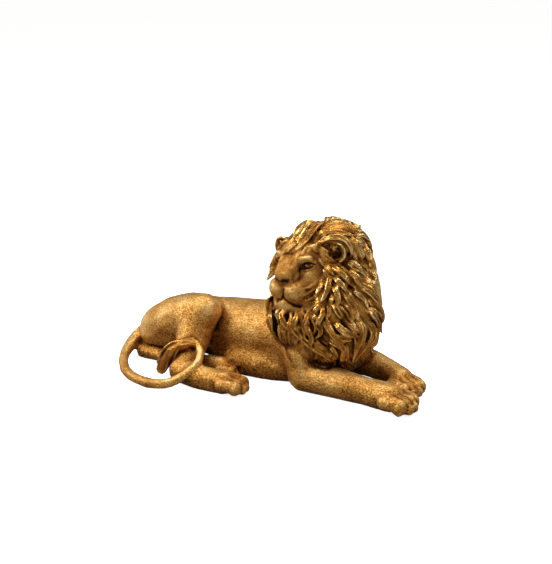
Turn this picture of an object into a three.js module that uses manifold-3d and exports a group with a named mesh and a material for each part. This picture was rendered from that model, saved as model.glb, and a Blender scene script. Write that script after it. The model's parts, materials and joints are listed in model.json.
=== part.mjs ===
// A lion cast in resin, lying with both forelegs out in front and its head turned to its right.
//
// +X runs from the rump to the forepaws, +Y is the lion's left and +Z is up. The origin is on the
// underside, at the middle of the statue's length and width. The statue is one casting and so one solid.
// Its body is a smooth union of round masses and limbs, and the mane is rows of locks combed over a mass
// of hair. Places are written in hundredths of the body's length, so the figure keeps its proportions.

import * as THREE from 'three';
import Module from 'manifold-3d';
import { mergeVertices } from 'three/addons/utils/BufferGeometryUtils.js';

// Driving dimensions, in millimetres.
const BODY_LENGTH = 560; // rump to the toes of the forepaws
const GRID_CELL = 3.2; // spacing of the grid that the surface is read from

// How the surface is thinned out.
const MOST_TRIANGLES = 9300;
const FACE_CARE = 16; // how many times closer the face is kept than the body
const MANE_CARE = 3;
const SHORT_EDGES_FIRST = 1e-4; // how strongly short edges are joined before long ones
const MOST_TURN = 0.3; // cosine of the most that a face may turn when an edge is joined
const THINNEST = 0.08; // least height of a face as a share of its longest edge

const UNIT = BODY_LENGTH / 100;
const CELL = GRID_CELL / UNIT;
const X = 0;
const Y = 1;
const Z = 2;

const vec = (x, y, z) => new THREE.Vector3(x, y, z);
const lerp = THREE.MathUtils.lerp;

// The smaller of two distances, rounded over where they are within `blend` of each other.
function smoothMin(a, b, blend) {
  const near = Math.max(blend - Math.abs(a - b), 0) / blend;
  return Math.min(a, b) - (near * near * blend) / 4;
}

// An ellipsoid, turned by Euler angles in degrees.
function mass(centre, radii, turn = [0, 0, 0]) {
  const euler = new THREE.Euler(...turn.map(THREE.MathUtils.degToRad));
  const back = new THREE.Matrix3().setFromMatrix4(
    new THREE.Matrix4().makeRotationFromEuler(euler),
  ).transpose().elements;
  const reach = Math.max(...radii);
  const [rx, ry, rz] = radii;
  return {
    low: centre.clone().subScalar(reach),
    high: centre.clone().addScalar(reach),
    distance(x, y, z) {
      const dx = x - centre.x;
      const dy = y - centre.y;
      const dz = z - centre.z;
      const u = (back[0] * dx + back[3] * dy + back[6] * dz) / rx;
      const v = (back[1] * dx + back[4] * dy + back[7] * dz) / ry;
      const w = (back[2] * dx + back[5] * dy + back[8] * dz) / rz;
      const far = Math.hypot(u, v, w);
      return (far * (far - 1)) / Math.max(Math.hypot(u / rx, v / ry, w / rz), 1e-6);
    },
  };
}

// A round limb along samples {at, radius}, flattened along each sample's `flat` direction if it has one.
function strap(samples, flatness = 1) {
  const box = new THREE.Box3();
  for (const { at, radius } of samples) {
    box.expandByPoint(at.clone().addScalar(radius));
    box.expandByPoint(at.clone().subScalar(radius));
  }
  const squeeze = 1 / flatness - 1;
  return {
    low: box.min,
    high: box.max,
    distance(x, y, z) {
      let best = Infinity;
      for (let i = 0; i + 1 < samples.length; i += 1) {
        const a = samples[i];
        const b = samples[i + 1];
        const ex = b.at.x - a.at.x;
        const ey = b.at.y - a.at.y;
        const ez = b.at.z - a.at.z;
        let px = x - a.at.x;
        let py = y - a.at.y;
        let pz = z - a.at.z;
        const share = (px * ex + py * ey + pz * ez) / (ex * ex + ey * ey + ez * ez);
        const t = Math.min(Math.max(share, 0), 1);
        px -= ex * t;
        py -= ey * t;
        pz -= ez * t;
        if (a.flat) {
          const across = (px * a.flat.x + py * a.flat.y + pz * a.flat.z) * squeeze;
          px += a.flat.x * across;
          py += a.flat.y * across;
          pz += a.flat.z * across;
        }
        const radius = a.radius + (b.radius - a.radius) * t;
        best = Math.min(best, Math.sqrt(px * px + py * py + pz * pz) - radius);
      }
      return best;
    },
  };
}

// A limb through stations [x, y, z, radius], smoothed by a curve.
function limb(stations, place = (x, y, z) => vec(x, y, z), steps = 4) {
  const curve = new THREE.CatmullRomCurve3(stations.map(([x, y, z]) => place(x, y, z)));
  const count = (stations.length - 1) * steps;
  const samples = [];
  for (let i = 0; i <= count; i += 1) {
    const along = (i / count) * (stations.length - 1);
    const from = Math.min(Math.floor(along), stations.length - 2);
    const radius = lerp(stations[from][3], stations[from + 1][3], along - from);
    samples.push({ at: curve.getPoint(i / count), radius });
  }
  return strap(samples);
}

const SEALED = 0.01; // depth given to a sealed pocket's skin when it is filled
const MARGIN = 3; // clear room left round the figure
const HEART = 8; // height of a place that is well inside the body, over the middle of the ground

// Distances on a grid, to which shapes are added and from which shapes are carved.
class Clay {
  constructor(low, high, cell) {
    this.low = low;
    this.cell = cell;
    this.size = [X, Y, Z].map((k) =>
      Math.ceil((high.getComponent(k) - low.getComponent(k)) / cell) + 1);
    this.far = cell * 8;
    this.values = new Float32Array(this.size[X] * this.size[Y] * this.size[Z]).fill(this.far);
  }

  index(i, j, k) {
    return i + this.size[X] * (j + this.size[Y] * k);
  }

  each(shape, margin, change) {
    const range = [X, Y, Z].map((k) => {
      const low = shape.low.getComponent(k) - margin - this.low.getComponent(k);
      const high = shape.high.getComponent(k) + margin - this.low.getComponent(k);
      return [
        Math.max(Math.floor(low / this.cell), 0),
        Math.min(Math.ceil(high / this.cell), this.size[k] - 1),
      ];
    });
    for (let k = range[Z][0]; k <= range[Z][1]; k += 1) {
      const z = this.low.z + k * this.cell;
      for (let j = range[Y][0]; j <= range[Y][1]; j += 1) {
        const y = this.low.y + j * this.cell;
        for (let i = range[X][0]; i <= range[X][1]; i += 1) {
          const n = this.index(i, j, k);
          const x = this.low.x + i * this.cell;
          this.values[n] = change(this.values[n], shape.distance(x, y, z));
        }
      }
    }
  }

  add(shape, blend) {
    this.each(shape, blend + this.cell * 2, (old, d) => smoothMin(old, d, blend));
  }

  carve(shape, blend) {
    this.each(shape, blend + this.cell * 2, (old, d) => -smoothMin(-old, d, blend));
  }

  // The grid's points that can be reached from one of them without crossing the surface.
  reached(start) {
    const steps = [1, this.size[X], this.size[X] * this.size[Y]].flatMap((step) => [step, -step]);
    const found = new Uint8Array(this.values.length);
    const inside = this.values[start] < 0;
    const open = [start];
    found[start] = 1;
    while (open.length > 0) {
      const n = open.pop();
      for (const step of steps) {
        const next = n + step;
        if (found[next] || next < 0 || next >= this.values.length) continue;
        if (this.values[next] < 0 !== inside) continue;
        found[next] = 1;
        open.push(next);
      }
    }
    return found;
  }

  // Fills the pockets that are sealed in, and drops what hangs loose.
  makeOneBody() {
    const outside = this.reached(0);
    this.values.forEach((value, n) => {
      if (value >= 0 && !outside[n]) this.values[n] = -value - SEALED;
    });
    const [i, j, k] = [X, Y, Z].map((axis) => Math.round(-this.low.getComponent(axis) / this.cell));
    const body = this.reached(this.index(i, j, k + Math.round(HEART / this.cell)));
    this.values.forEach((value, n) => {
      if (value < 0 && !body[n]) this.values[n] = -value;
    });
  }
}

// The room that shapes take up, which is gathered before the clay is laid out.
class Room {
  box = new THREE.Box3();

  add(shape) {
    this.box.union(new THREE.Box3(shape.low, shape.high));
  }

  carve() {}
}

// HEAD
// The head has its own frame: ahead along the nose, left to the lion's left, and up.
const HEAD_CENTRE = vec(9.5, -4, 37.4); // between the eyes, inside the skull
const HEAD_YAW = THREE.MathUtils.degToRad(-99);
const AHEAD = vec(Math.cos(HEAD_YAW), Math.sin(HEAD_YAW), 0);
const LEFT = vec(-Math.sin(HEAD_YAW), Math.cos(HEAD_YAW), 0);
const UP = vec(0, 0, 1);
const HEAD_TURN = [0, 0, THREE.MathUtils.radToDeg(HEAD_YAW)];

function inHead(ahead, left, up) {
  return HEAD_CENTRE.clone()
    .addScaledVector(AHEAD, ahead)
    .addScaledVector(LEFT, left)
    .addScaledVector(UP, up);
}

// A point's place in the head's frame, as [ahead, left, up].
function fromHead(point) {
  const offset = point.clone().sub(HEAD_CENTRE);
  return [offset.dot(AHEAD), offset.dot(LEFT), offset.dot(UP)];
}

const headMass = (centre, radii) => mass(inHead(...centre), radii, HEAD_TURN);
const headLimb = (stations) => limb(stations, inHead);

function addSkull(clay) {
  clay.add(headMass([0, 0, 1.2], [7.6, 7.6, 6.8]), 2);
  clay.add(headMass([4.4, 0, 2.6], [3.2, 5.6, 2.6]), 2);
  clay.add(headLimb([[9.0, 0, -10.4, 3.0], [3.5, 0, -9.2, 4.8]]), 2);
  for (const side of [-1, 1]) {
    clay.add(headLimb([[3.8, side * 1.5, 2.6, 3.0], [8.2, side * 1.3, 0.3, 2.5],
      [11.2, side * 1.0, -2.2, 2.1]]), 1.2);
    clay.add(headMass([3.4, side * 4.4, -4.2], [4.4, 3.6, 5.2]), 2);
    clay.add(headMass([8.9, side * 2.8, -6.9], [3.9, 3.6, 3.6]), 1.4);
  }
  clay.add(headMass([9.0, 0, -11.2], [2.7, 3.0, 2.2]), 1.2);
}

function addFeatures(clay) {
  for (const side of [-1, 1]) {
    clay.carve(headMass([7.4, side * 4.6, 0.2], [1.7, 1.8, 1.3]), 1.2);
    clay.add(headMass([5.6, side * 4.5, 0.2], [1.35, 1.35, 1.35]), 0.3);
    clay.add(headLimb([[8.6, side * 1.8, 1.3, 0.7], [7.7, side * 3.6, 2.0, 0.8],
      [5.9, side * 6.0, 1.0, 0.6]]), 0.9);
    clay.carve(headLimb([[12.8, 0, -5.4, 0.35], [12.6, 0, -8.4, 0.45], [11.6, side * 1.8, -10.2, 0.5],
      [9.6, side * 4.2, -11.2, 0.5], [7.4, side * 5.6, -11.2, 0.4]]), 0.4);
  }
  clay.add(headMass([12.2, 0, -3.5], [1.4, 2.9, 1.4]), 0.4);
  for (const side of [-1, 1]) {
    clay.carve(headMass([13.3, side * 1.6, -4.0], [0.8, 0.8, 0.55]), 0.3);
  }
}

// The locks that leave the mane, from a parting on the crown: the quiff swept back, the tuft and the
// forelock that fall to the far side, arcs over the near ear, and locks beside both cheeks.
const STRAY_LOCKS = [
  [[-1.4, 4.0, 10.6, 0.9], [-3.2, 6.4, 10.4, 1.8], [-5, 8.6, 9.8, 1.9], [-7, 10.8, 9.4, 1.3], [-8, 12.6, 10.6, 0.4]],
  [[-0.4, 4.6, 9.2, 0.9], [-2.6, 8, 8.8, 1.6], [-5.2, 10.6, 7.8, 1.5], [-7.4, 12.6, 7.2, 0.5]],
  [[-1, 4.6, 10.4, 1.0], [1, 2.2, 9.6, 1.5], [3, 0.2, 8, 1.4], [4.5, -2.3, 5.4, 1.3], [5, -5.2, 2.7, 1.0],
    [5, -8.4, 0.1, 0.4]],
  [[-2.5, 2, 9.6, 0.9], [-1.5, -1.6, 8.6, 1.6], [-0.5, -4.1, 7.2, 1.5], [0.5, -5.3, 5.4, 1.0], [0.8, -6, 4, 0.4]],
  [[3.4, 5.6, 6.2, 0.7], [1.5, 8.4, 7.4, 1.1], [0, 11.2, 7.6, 1.2], [-1.5, 13.2, 6.2, 1.1], [-2.5, 14.4, 3.6, 0.9],
    [-3, 15, 0.6, 0.4]],
  [[1, 5.6, 8.4, 0.8], [-1, 8.8, 8.8, 1.3], [-3, 11.8, 7.6, 1.4], [-5, 13.9, 4.8, 1.2], [-6, 15.2, 1.4, 0.4]],
  [[2.6, 9.6, -3.4, 0.8], [3.6, 10.4, -6.6, 1.1], [4.2, 10.4, -10, 1.1], [4.6, 9.8, -13.6, 0.4]],
  [[1.6, 11.4, -3.2, 0.8], [1.8, 13, -6.4, 1.2], [2, 12.6, -10, 1.1], [2.4, 11.4, -13.8, 0.4]],
  [[1.4, -7.4, -1, 1.5], [3.4, -9.6, -3.6, 1.4], [5.4, -11.4, -7.4, 0.4]],
  [[1.4, -7.4, 2.4, 1.3], [3.2, -9.2, 0, 1.2], [4.8, -11, -3.4, 0.4]],
];

function addStrayLocks(clay) {
  for (const stations of STRAY_LOCKS) clay.add(headLimb(stations), 0.5);
}

// The middles of the far ear and the near one.
const EARS = [[0, -9.3, 2.5], [0.2, 10.6, 3.8]];

function addEars(clay) {
  for (const [ahead, left, up] of EARS) {
    clay.add(headMass([ahead - 0.4, left, up], [2.0, 2.7, 2.8]), 0.4);
    clay.carve(headMass([ahead + 1.5, left, up], [2.5, 1.8, 1.9]), 0.3);
  }
}

// MANE
const MANE_MASSES = [
  mass(vec(12.3, 1.0, 40.6), [8.4, 7.6, 5.4]),
  mass(vec(12.2, 3.2, 36.2), [11.0, 10, 10.0]),
  mass(vec(14.6, 1.0, 26), [12.0, 11.2, 13]),
  mass(vec(9.5, -6.2, 24), [9.5, 8.6, 8.6]),
  mass(vec(18.6, -0.8, 17.2), [8.8, 9.6, 9.5]),
];
const MANE_BLEND = 4;

function maneDistance(p) {
  return MANE_MASSES.map((m) => m.distance(p.x, p.y, p.z))
    .reduce((a, b) => smoothMin(a, b, MANE_BLEND));
}

function maneNormal(p) {
  const step = 0.2;
  const slope = [X, Y, Z].map((k) => {
    const offset = vec(0, 0, 0).setComponent(k, step);
    return maneDistance(p.clone().add(offset)) - maneDistance(p.clone().sub(offset));
  });
  return vec(...slope).normalize();
}

// The point of the mane's surface straight out from a place inside it.
function onMane(inside, direction) {
  const p = inside.clone();
  for (let i = 0; i < 80 && maneDistance(p) < 0; i += 1) p.addScaledVector(direction, 0.5);
  return p;
}

// A number from 0 to 1 that looks random and is the same on every run.
function scatter(seed) {
  const value = Math.sin(seed * 12.9898 + 4.1414) * 43758.5453;
  return value - Math.floor(value);
}

const LOCK_STEPS = 7;
const LOCK_FLATNESS = 0.62; // thickness over width
const CHIN_STAND = 1.3; // how much further the hair stands out below the face
const ROOT_LIFT = -0.1; // how far a lock's middle lies over the hair, as shares of its width
const TIP_LIFT = 0.6;
const LOCK_BLEND = 0.35;
const FOREHEAD = inHead(6, 0, 6.5);

// Hair is combed away from the forehead, and falls the more the further down it grows.
function combing(p, normal, swing) {
  const away = p.clone().sub(FOREHEAD);
  const reach = away.length();
  const fall = THREE.MathUtils.smoothstep(reach, 6, 22);
  const way = away.normalize().multiplyScalar(1 - 0.75 * fall).add(vec(0, 0, -1.15 * fall));
  way.addScaledVector(normal, -way.dot(normal)).normalize();
  return way.applyAxisAngle(normal, swing);
}

// One lock: a flat strand along the mane, wide in the middle, whose tip stands off the hair below it.
// `stand` lifts the whole of it.
function lock(root, length, width, seed, stand = 0) {
  const samples = [];
  const p = root.clone();
  const phase = scatter(seed) * Math.PI * 2;
  const curl = 0.35 + 0.4 * scatter(seed + 0.5);
  for (let i = 0; i <= LOCK_STEPS; i += 1) {
    const share = i / LOCK_STEPS;
    const normal = maneNormal(p);
    const lift = stand + width * lerp(ROOT_LIFT, TIP_LIFT, share);
    p.addScaledVector(normal, lift - maneDistance(p));
    const fullness = Math.sin(Math.PI * Math.min(0.15 + 0.85 * share, 0.97)) ** 0.6;
    samples.push({ at: p.clone(), radius: width * 0.5 * fullness, flat: normal });
    const swing = curl * Math.sin(phase + share * 4.2);
    p.addScaledVector(combing(p, normal, swing), length / LOCK_STEPS);
  }
  return strap(samples, LOCK_FLATNESS);
}

// True where the face is, and on the parting, and so no row's hair grows.
function bare(point) {
  const [ahead, left, up] = fromHead(point);
  const onFace = ahead > 1 && Math.abs(left) < 7.8 && up > -12.5 && up < 6.5;
  return onFace || (ahead > -5 && up > 6.5 && left < 8);
}

// Rows of roots: the row's height and the middle that it goes round, and the count, length and width of
// its locks.
const NECK_ROWS = [
  { height: 13.5, middle: [18.5, -1], count: 17, length: 8, width: 3.8 },
  { height: 18, middle: [15, -2], count: 23, length: 9.5, width: 3.9 },
  { height: 22.5, middle: [13, -1.5], count: 25, length: 10.5, width: 3.9 },
  { height: 27, middle: [13.5, -0.5], count: 24, length: 11, width: 3.9 },
  { height: 31.5, middle: [14, 1], count: 22, length: 11, width: 3.9 },
  { height: 36, middle: [13, 3], count: 20, length: 11, width: 3.8 },
];
const CROWN_ROWS = [
  { spread: 104, count: 11, length: 10, width: 3.6 },
  { spread: 78, count: 11, length: 10, width: 3.5 },
  { spread: 54, count: 9, length: 9.5, width: 3.3 },
];

function addMane(clay) {
  for (const m of MANE_MASSES) clay.add(m, MANE_BLEND);
}

function addLocks(clay) {
  let seed = 1;
  for (const { height, middle, count, length, width } of NECK_ROWS) {
    for (let i = 0; i < count; i += 1) {
      seed += 1;
      const angle = ((i + 0.5 * scatter(height) + 0.35 * scatter(seed)) / count) * Math.PI * 2;
      const way = vec(Math.cos(angle), Math.sin(angle), 0);
      const root = onMane(vec(...middle, height), way);
      if (bare(root)) continue;
      const stand = CHIN_STAND * Math.max(way.dot(AHEAD), 0);
      clay.add(lock(root, length * lerp(0.85, 1.15, scatter(seed)), width, seed, stand), LOCK_BLEND);
    }
  }
  for (const { spread, count, length, width } of CROWN_ROWS) {
    for (let i = 0; i < count; i += 1) {
      seed += 1;
      const round = lerp(-100, 100, (i + 0.5) / count) * (Math.PI / 180);
      const lean = (spread * Math.PI) / 180;
      const way = AHEAD.clone().multiplyScalar(Math.cos(lean))
        .addScaledVector(LEFT, Math.sin(lean) * Math.sin(round))
        .addScaledVector(UP, Math.sin(lean) * Math.cos(round));
      const root = onMane(inHead(-1, 0, 1), way);
      if (bare(root)) continue;
      clay.add(lock(root, length, width, seed), LOCK_BLEND);
    }
  }
}

// BODY
function addTrunk(clay) {
  clay.add(limb([[-38.5, -2, 9.4, 7.8], [-24, 0.5, 10.6, 9.2], [-8, 0.5, 11.0, 10.2], [6, 0.5, 12.2, 11]]), 3);
  clay.add(mass(vec(-6, -1.2, 4), [20, 10.2, 7]), 2);
  clay.add(mass(vec(9, -2, 13), [8.5, 8.6, 10.5]), 4);
}

function addHindLegs(clay) {
  // The near thigh, whose knee stands beside the back, then its shank and the foot along the ground.
  clay.add(limb([[-41, -5.5, 8.6, 8.0], [-34, -7.5, 12.6, 8.2], [-27.8, -9.5, 16.0, 7.1],
    [-23.0, -10.6, 18.4, 5.5]]), 1);
  clay.carve(mass(vec(-39.5, -17, 1.4), [11, 9.6, 4.6]), 0.7);
  clay.add(limb([[-24.6, -12.4, 14, 5.6], [-24.0, -16, 9, 4.8], [-22.4, -21, 5, 3.8]]), 1.5);
  clay.add(limb([[-22.6, -23.4, 3.6, 3.7], [-16, -24.8, 3.2, 3.6], [-7, -24.4, 2.8, 3.5]]), 1.2);
  toes(clay, vec(-6.4, -24.2, 0), 8, 1.02);
  // The far thigh, and the far shank that comes out under the body with its foot beside the belly.
  clay.add(mass(vec(-31, 6.5, 9), [14, 6, 8.6]), 3);
  clay.add(limb([[-46, -10.5, 2, 2.3], [-40, -11.2, 2, 2.1], [-30, -12, 2.6, 2.6], [-16, -12.6, 2.8, 3]]), 0.7);
  toes(clay, vec(-15, -12.4, 0), 6, 0.85);
}

// Four toes side by side at the end of a foot that points `turn` degrees from +X.
function toes(clay, ball, turn, size) {
  const ahead = vec(1, 0, 0).applyAxisAngle(vec(0, 0, 1), THREE.MathUtils.degToRad(turn));
  const across = vec(-ahead.y, ahead.x, 0);
  for (let i = 0; i < 4; i += 1) {
    const offset = (i - 1.5) * 2.1 * size;
    const reach = (i === 1 || i === 2 ? 5.6 : 4.2) * size;
    const at = (forward, up) => ball.clone().addScaledVector(ahead, forward)
      .addScaledVector(across, offset).add(vec(0, 0, up * size));
    clay.add(strap([
      { at: at(0, 3), radius: 1.9 * size },
      { at: at(reach * 0.6, 3), radius: 1.75 * size },
      { at: at(reach, 1.8), radius: 1.5 * size },
    ]), 0.5);
  }
}

function addForelegs(clay) {
  // The near shoulder, elbow, forearm and paw, then the far ones.
  clay.add(limb([[12, -6.8, 16.5, 6.4], [11, -9.2, 10, 5.6], [11.4, -9.8, 5, 4.6]]), 2.5);
  clay.add(limb([[11.8, -10.3, 3.9, 4.5], [20, -10.8, 4.2, 4.6], [32, -11.4, 3.6, 4.0], [40.4, -12.2, 3.4, 4.2]]), 1.2);
  toes(clay, vec(41.2, -12.6, 0), -8, 1.15);
  clay.add(limb([[15, 7.5, 17, 6.4], [14, 8.5, 8, 5]]), 2.5);
  clay.add(limb([[14, 7.5, 5, 4.4], [24, 6.2, 5.6, 4.2], [31, 4.7, 4.6, 3.7], [37, 1.9, 3.8, 3.7]]), 1.2);
  toes(clay, vec(37.6, 1.2, 0), -24, 1.08);
}

function addTail(clay) {
  clay.add(limb([[-45, -3, 10, 3.0], [-49.5, -8.5, 5.6, 2.2], [-47.4, -18, 3.2, 1.6], [-43.6, -24, 2.2, 1.5],
    [-38.6, -28.6, 1.5, 1.5], [-32.4, -31.6, 1.4, 1.5], [-27, -32.6, 1.4, 1.5], [-21.5, -30.4, 2.0, 1.4],
    [-17.2, -27.6, 5.0, 1.3], [-15.6, -25, 7.5, 1.2], [-16.6, -22, 9.6, 1.15], [-19, -20.4, 11.2, 1.1],
    [-22, -20, 11.6, 1.2]]), 0.6);
  clay.add(limb([[-19.6, -20.4, 11.8, 1.1], [-23.1, -21.4, 11, 1.8], [-26, -22.4, 8.8, 2.1],
    [-28.4, -23, 5.4, 2.0], [-30, -23.2, 2.4, 1.6]]), 0.5);
}

// SURFACE
// Splits each grid cell into six tetrahedra and returns the surface where the distance is zero.
const CORNERS = [[0, 0, 0], [1, 0, 0], [0, 1, 0], [1, 1, 0], [0, 0, 1], [1, 0, 1], [0, 1, 1], [1, 1, 1]];
const TETRAHEDRA = [[0, 1, 3, 7], [0, 3, 2, 7], [0, 2, 6, 7], [0, 6, 4, 7], [0, 4, 5, 7], [0, 5, 1, 7]];

function surfaceOf(clay) {
  const { size, values, cell, low } = clay;
  const positions = [];
  const triangles = [];
  const made = new Map();
  const steps = CORNERS.map(([i, j, k]) => clay.index(i, j, k));
  const corner = (n) => {
    const i = n % size[X];
    const j = Math.floor(n / size[X]) % size[Y];
    return [i, j, Math.floor(n / (size[X] * size[Y]))];
  };
  const crossing = (a, b) => {
    const key = a < b ? a * values.length + b : b * values.length + a;
    if (!made.has(key)) {
      const t = THREE.MathUtils.clamp(values[a] / (values[a] - values[b]), 0.08, 0.92);
      const from = corner(a);
      const to = corner(b);
      made.set(key, positions.length / 3);
      [X, Y, Z].forEach((k) =>
        positions.push(low.getComponent(k) + lerp(from[k], to[k], t) * cell));
    }
    return made.get(key);
  };
  for (let k = 0; k + 1 < size[Z]; k += 1) {
    for (let j = 0; j + 1 < size[Y]; j += 1) {
      for (let i = 0; i + 1 < size[X]; i += 1) {
        const n = clay.index(i, j, k);
        let inside = 0;
        for (const step of steps) inside += values[n + step] < 0 ? 1 : 0;
        if (inside === 0 || inside === 8) continue;
        for (const tetrahedron of TETRAHEDRA) {
          const ends = tetrahedron.map((c) => n + steps[c]);
          const within = ends.filter((e) => values[e] < 0);
          const outside = ends.filter((e) => values[e] >= 0);
          if (!within.length || !outside.length) continue;
          // The tetrahedra are all wound alike, so a permutation's sign says which way a face points.
          const order = [...within, ...outside].map((e) => ends.indexOf(e));
          const even = parity(order);
          const face = (a, b, c) => triangles.push(...(even ? [a, b, c] : [a, c, b]));
          if (within.length === 1) {
            face(crossing(within[0], outside[0]), crossing(within[0], outside[1]),
              crossing(within[0], outside[2]));
          } else if (within.length === 3) {
            face(crossing(within[0], outside[0]), crossing(within[1], outside[0]),
              crossing(within[2], outside[0]));
          } else {
            const ring = [[0, 0], [0, 1], [1, 1], [1, 0]]
              .map(([a, b]) => crossing(within[a], outside[b]));
            face(ring[0], ring[1], ring[2]);
            face(ring[0], ring[2], ring[3]);
          }
        }
      }
    }
  }
  return { positions, triangles };
}

function parity(order) {
  let swaps = 0;
  for (let a = 0; a < order.length; a += 1) {
    for (let b = a + 1; b < order.length; b += 1) swaps += order[a] > order[b] ? 1 : 0;
  }
  return swaps % 2 === 0;
}

// THINNING
// A heap from which the item with the lowest cost comes first.
class Queue {
  constructor() {
    this.items = [];
  }

  push(item) {
    const { items } = this;
    let at = items.length;
    items.push(item);
    while (at > 0) {
      const above = (at - 1) >> 1;
      if (items[above].cost <= item.cost) break;
      items[at] = items[above];
      at = above;
    }
    items[at] = item;
  }

  pop() {
    const { items } = this;
    const first = items[0];
    const last = items.pop();
    if (items.length === 0) return first;
    let at = 0;
    for (;;) {
      let below = 2 * at + 1;
      if (below >= items.length) break;
      if (below + 1 < items.length && items[below + 1].cost < items[below].cost) below += 1;
      if (items[below].cost >= last.cost) break;
      items[at] = items[below];
      at = below;
    }
    items[at] = last;
    return first;
  }
}

// A closed surface whose edges are joined up one by one, where that moves the surface least.
class Skin {
  constructor({ positions, triangles }) {
    this.points = Float64Array.from(positions);
    this.faces = Int32Array.from(triangles);
    this.left = triangles.length / 3;
    const count = positions.length / 3;
    this.around = Array.from({ length: count }, () => []);
    this.errors = new Float64Array(count * 10);
    this.changes = new Int32Array(count);
    this.faces.forEach((p, n) => this.around[p].push(Math.floor(n / 3)));
    for (let f = 0; f < this.left; f += 1) this.addPlane(f);
  }

  // A point's place.
  at(p) {
    return vec(this.points[3 * p], this.points[3 * p + 1], this.points[3 * p + 2]);
  }

  corners(f) {
    return [this.faces[3 * f], this.faces[3 * f + 1], this.faces[3 * f + 2]];
  }

  // Adds the squared distance to a face's plane to the error of its corners.
  addPlane(f) {
    const [a, b, c] = this.corners(f).map((p) => this.at(p));
    const normal = vec(0, 0, 0).crossVectors(b.sub(a), c.sub(a));
    const area = normal.length() * care(a);
    if (area === 0) return;
    normal.normalize();
    const { x, y, z } = normal;
    const d = -normal.dot(a);
    const plane = [x * x, x * y, x * z, x * d, y * y, y * z, y * d, z * z, z * d, d * d];
    for (const p of this.corners(f)) {
      for (let k = 0; k < 10; k += 1) this.errors[10 * p + k] += plane[k] * area;
    }
  }

  // The place with the least error for the joined ends of an edge, and that error.
  joined(a, b) {
    const q = [];
    for (let k = 0; k < 10; k += 1) q.push(this.errors[10 * a + k] + this.errors[10 * b + k]);
    const cost = (p) => q[0] * p.x * p.x + 2 * q[1] * p.x * p.y + 2 * q[2] * p.x * p.z
      + 2 * q[3] * p.x + q[4] * p.y * p.y + 2 * q[5] * p.y * p.z + 2 * q[6] * p.y
      + q[7] * p.z * p.z + 2 * q[8] * p.z + q[9];
    const ends = [this.at(a), this.at(b)];
    const long = ends[0].distanceTo(ends[1]);
    const middle = ends[0].clone().lerp(ends[1], 0.5);
    const choices = [ends[0], ends[1], middle];
    const slopes = new THREE.Matrix3(q[0], q[1], q[2], q[1], q[4], q[5], q[2], q[5], q[7]);
    const size = q[0] + q[4] + q[7];
    if (Math.abs(slopes.determinant()) > 1e-4 * size ** 3) {
      const best = vec(-q[3], -q[6], -q[8]).applyMatrix3(slopes.invert());
      if (best.distanceTo(middle) < long * 2) choices.push(best);
    }
    let place = middle;
    for (const choice of choices) if (cost(choice) < cost(place)) place = choice;
    return { place, cost: Math.max(cost(place), 0) + SHORT_EDGES_FIRST * long ** 4 };
  }

  neighbours(p) {
    const found = new Set();
    for (const f of this.around[p]) for (const q of this.corners(f)) if (q !== p) found.add(q);
    return found;
  }

  // True if a face with these corners is neither turned over nor thinned out by moving one of them.
  keeps(f, p, place) {
    const corners = this.corners(f);
    const [a, b, c] = corners.map((q) => this.at(q));
    const [u, v, w] = corners.map((q) => (q === p ? place : this.at(q)));
    const old = vec(0, 0, 0).crossVectors(b.clone().sub(a), c.clone().sub(a));
    const now = vec(0, 0, 0).crossVectors(v.clone().sub(u), w.clone().sub(u));
    const oldLongest = Math.max(a.distanceToSquared(b), b.distanceToSquared(c), c.distanceToSquared(a));
    const longest = Math.max(u.distanceToSquared(v), v.distanceToSquared(w), w.distanceToSquared(u));
    const oldHeight = old.length() / oldLongest;
    const height = now.length() / longest;
    return old.dot(now) >= MOST_TURN * old.length() * now.length()
      && height > Math.min(THINNEST, oldHeight);
  }

  holds(p, other, place) {
    return this.around[p].every((f) => this.corners(f).includes(other) || this.keeps(f, p, place));
  }

  join(a, b, place) {
    const beside = this.neighbours(b);
    const shared = [...this.neighbours(a)].filter((p) => beside.has(p));
    if (shared.length !== 2 || !this.holds(a, b, place) || !this.holds(b, a, place)) return false;
    const gone = this.around[a].filter((f) => this.corners(f).includes(b));
    for (const p of shared) this.around[p] = this.around[p].filter((f) => !gone.includes(f));
    const moved = this.around[b].filter((f) => !gone.includes(f));
    for (const f of moved) {
      for (let k = 0; k < 3; k += 1) if (this.faces[3 * f + k] === b) this.faces[3 * f + k] = a;
    }
    this.around[a] = this.around[a].filter((f) => !gone.includes(f)).concat(moved);
    this.around[b] = [];
    this.points.set([place.x, place.y, place.z], 3 * a);
    for (let k = 0; k < 10; k += 1) this.errors[10 * a + k] += this.errors[10 * b + k];
    this.changes[a] += 1;
    this.changes[b] += 1;
    this.left -= gone.length;
    return true;
  }

  // Joins edges until `most` faces are left, or no edge can be joined any more.
  thin(most) {
    let before = Infinity;
    while (this.left > most && this.left < before) {
      before = this.left;
      this.pass(most);
    }
  }

  pass(most) {
    const queue = new Queue();
    const offer = (a, b) => {
      const { place, cost } = this.joined(a, b);
      queue.push({ a, b, place, cost, stamp: this.changes[a] + this.changes[b] });
    };
    for (let p = 0; p < this.around.length; p += 1) {
      for (const q of this.neighbours(p)) if (p < q) offer(p, q);
    }
    while (this.left > most && queue.items.length > 0) {
      const { a, b, place, stamp } = queue.pop();
      if (this.changes[a] + this.changes[b] !== stamp) continue;
      if (this.join(a, b, place)) for (const q of this.neighbours(a)) offer(a, q);
    }
  }

  // The points and triangles that are left, for a solid.
  result() {
    const number = new Map();
    const vertices = [];
    const triangles = [];
    this.around.forEach((faces, p) => {
      if (!faces.length) return;
      number.set(p, number.size);
      vertices.push(...this.at(p).toArray());
    });
    const kept = new Set(this.around.flat());
    for (const f of kept) triangles.push(...this.corners(f).map((p) => number.get(p)));
    return { numProp: 3, vertProperties: Float32Array.from(vertices), triVerts: Uint32Array.from(triangles) };
  }
}

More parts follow.
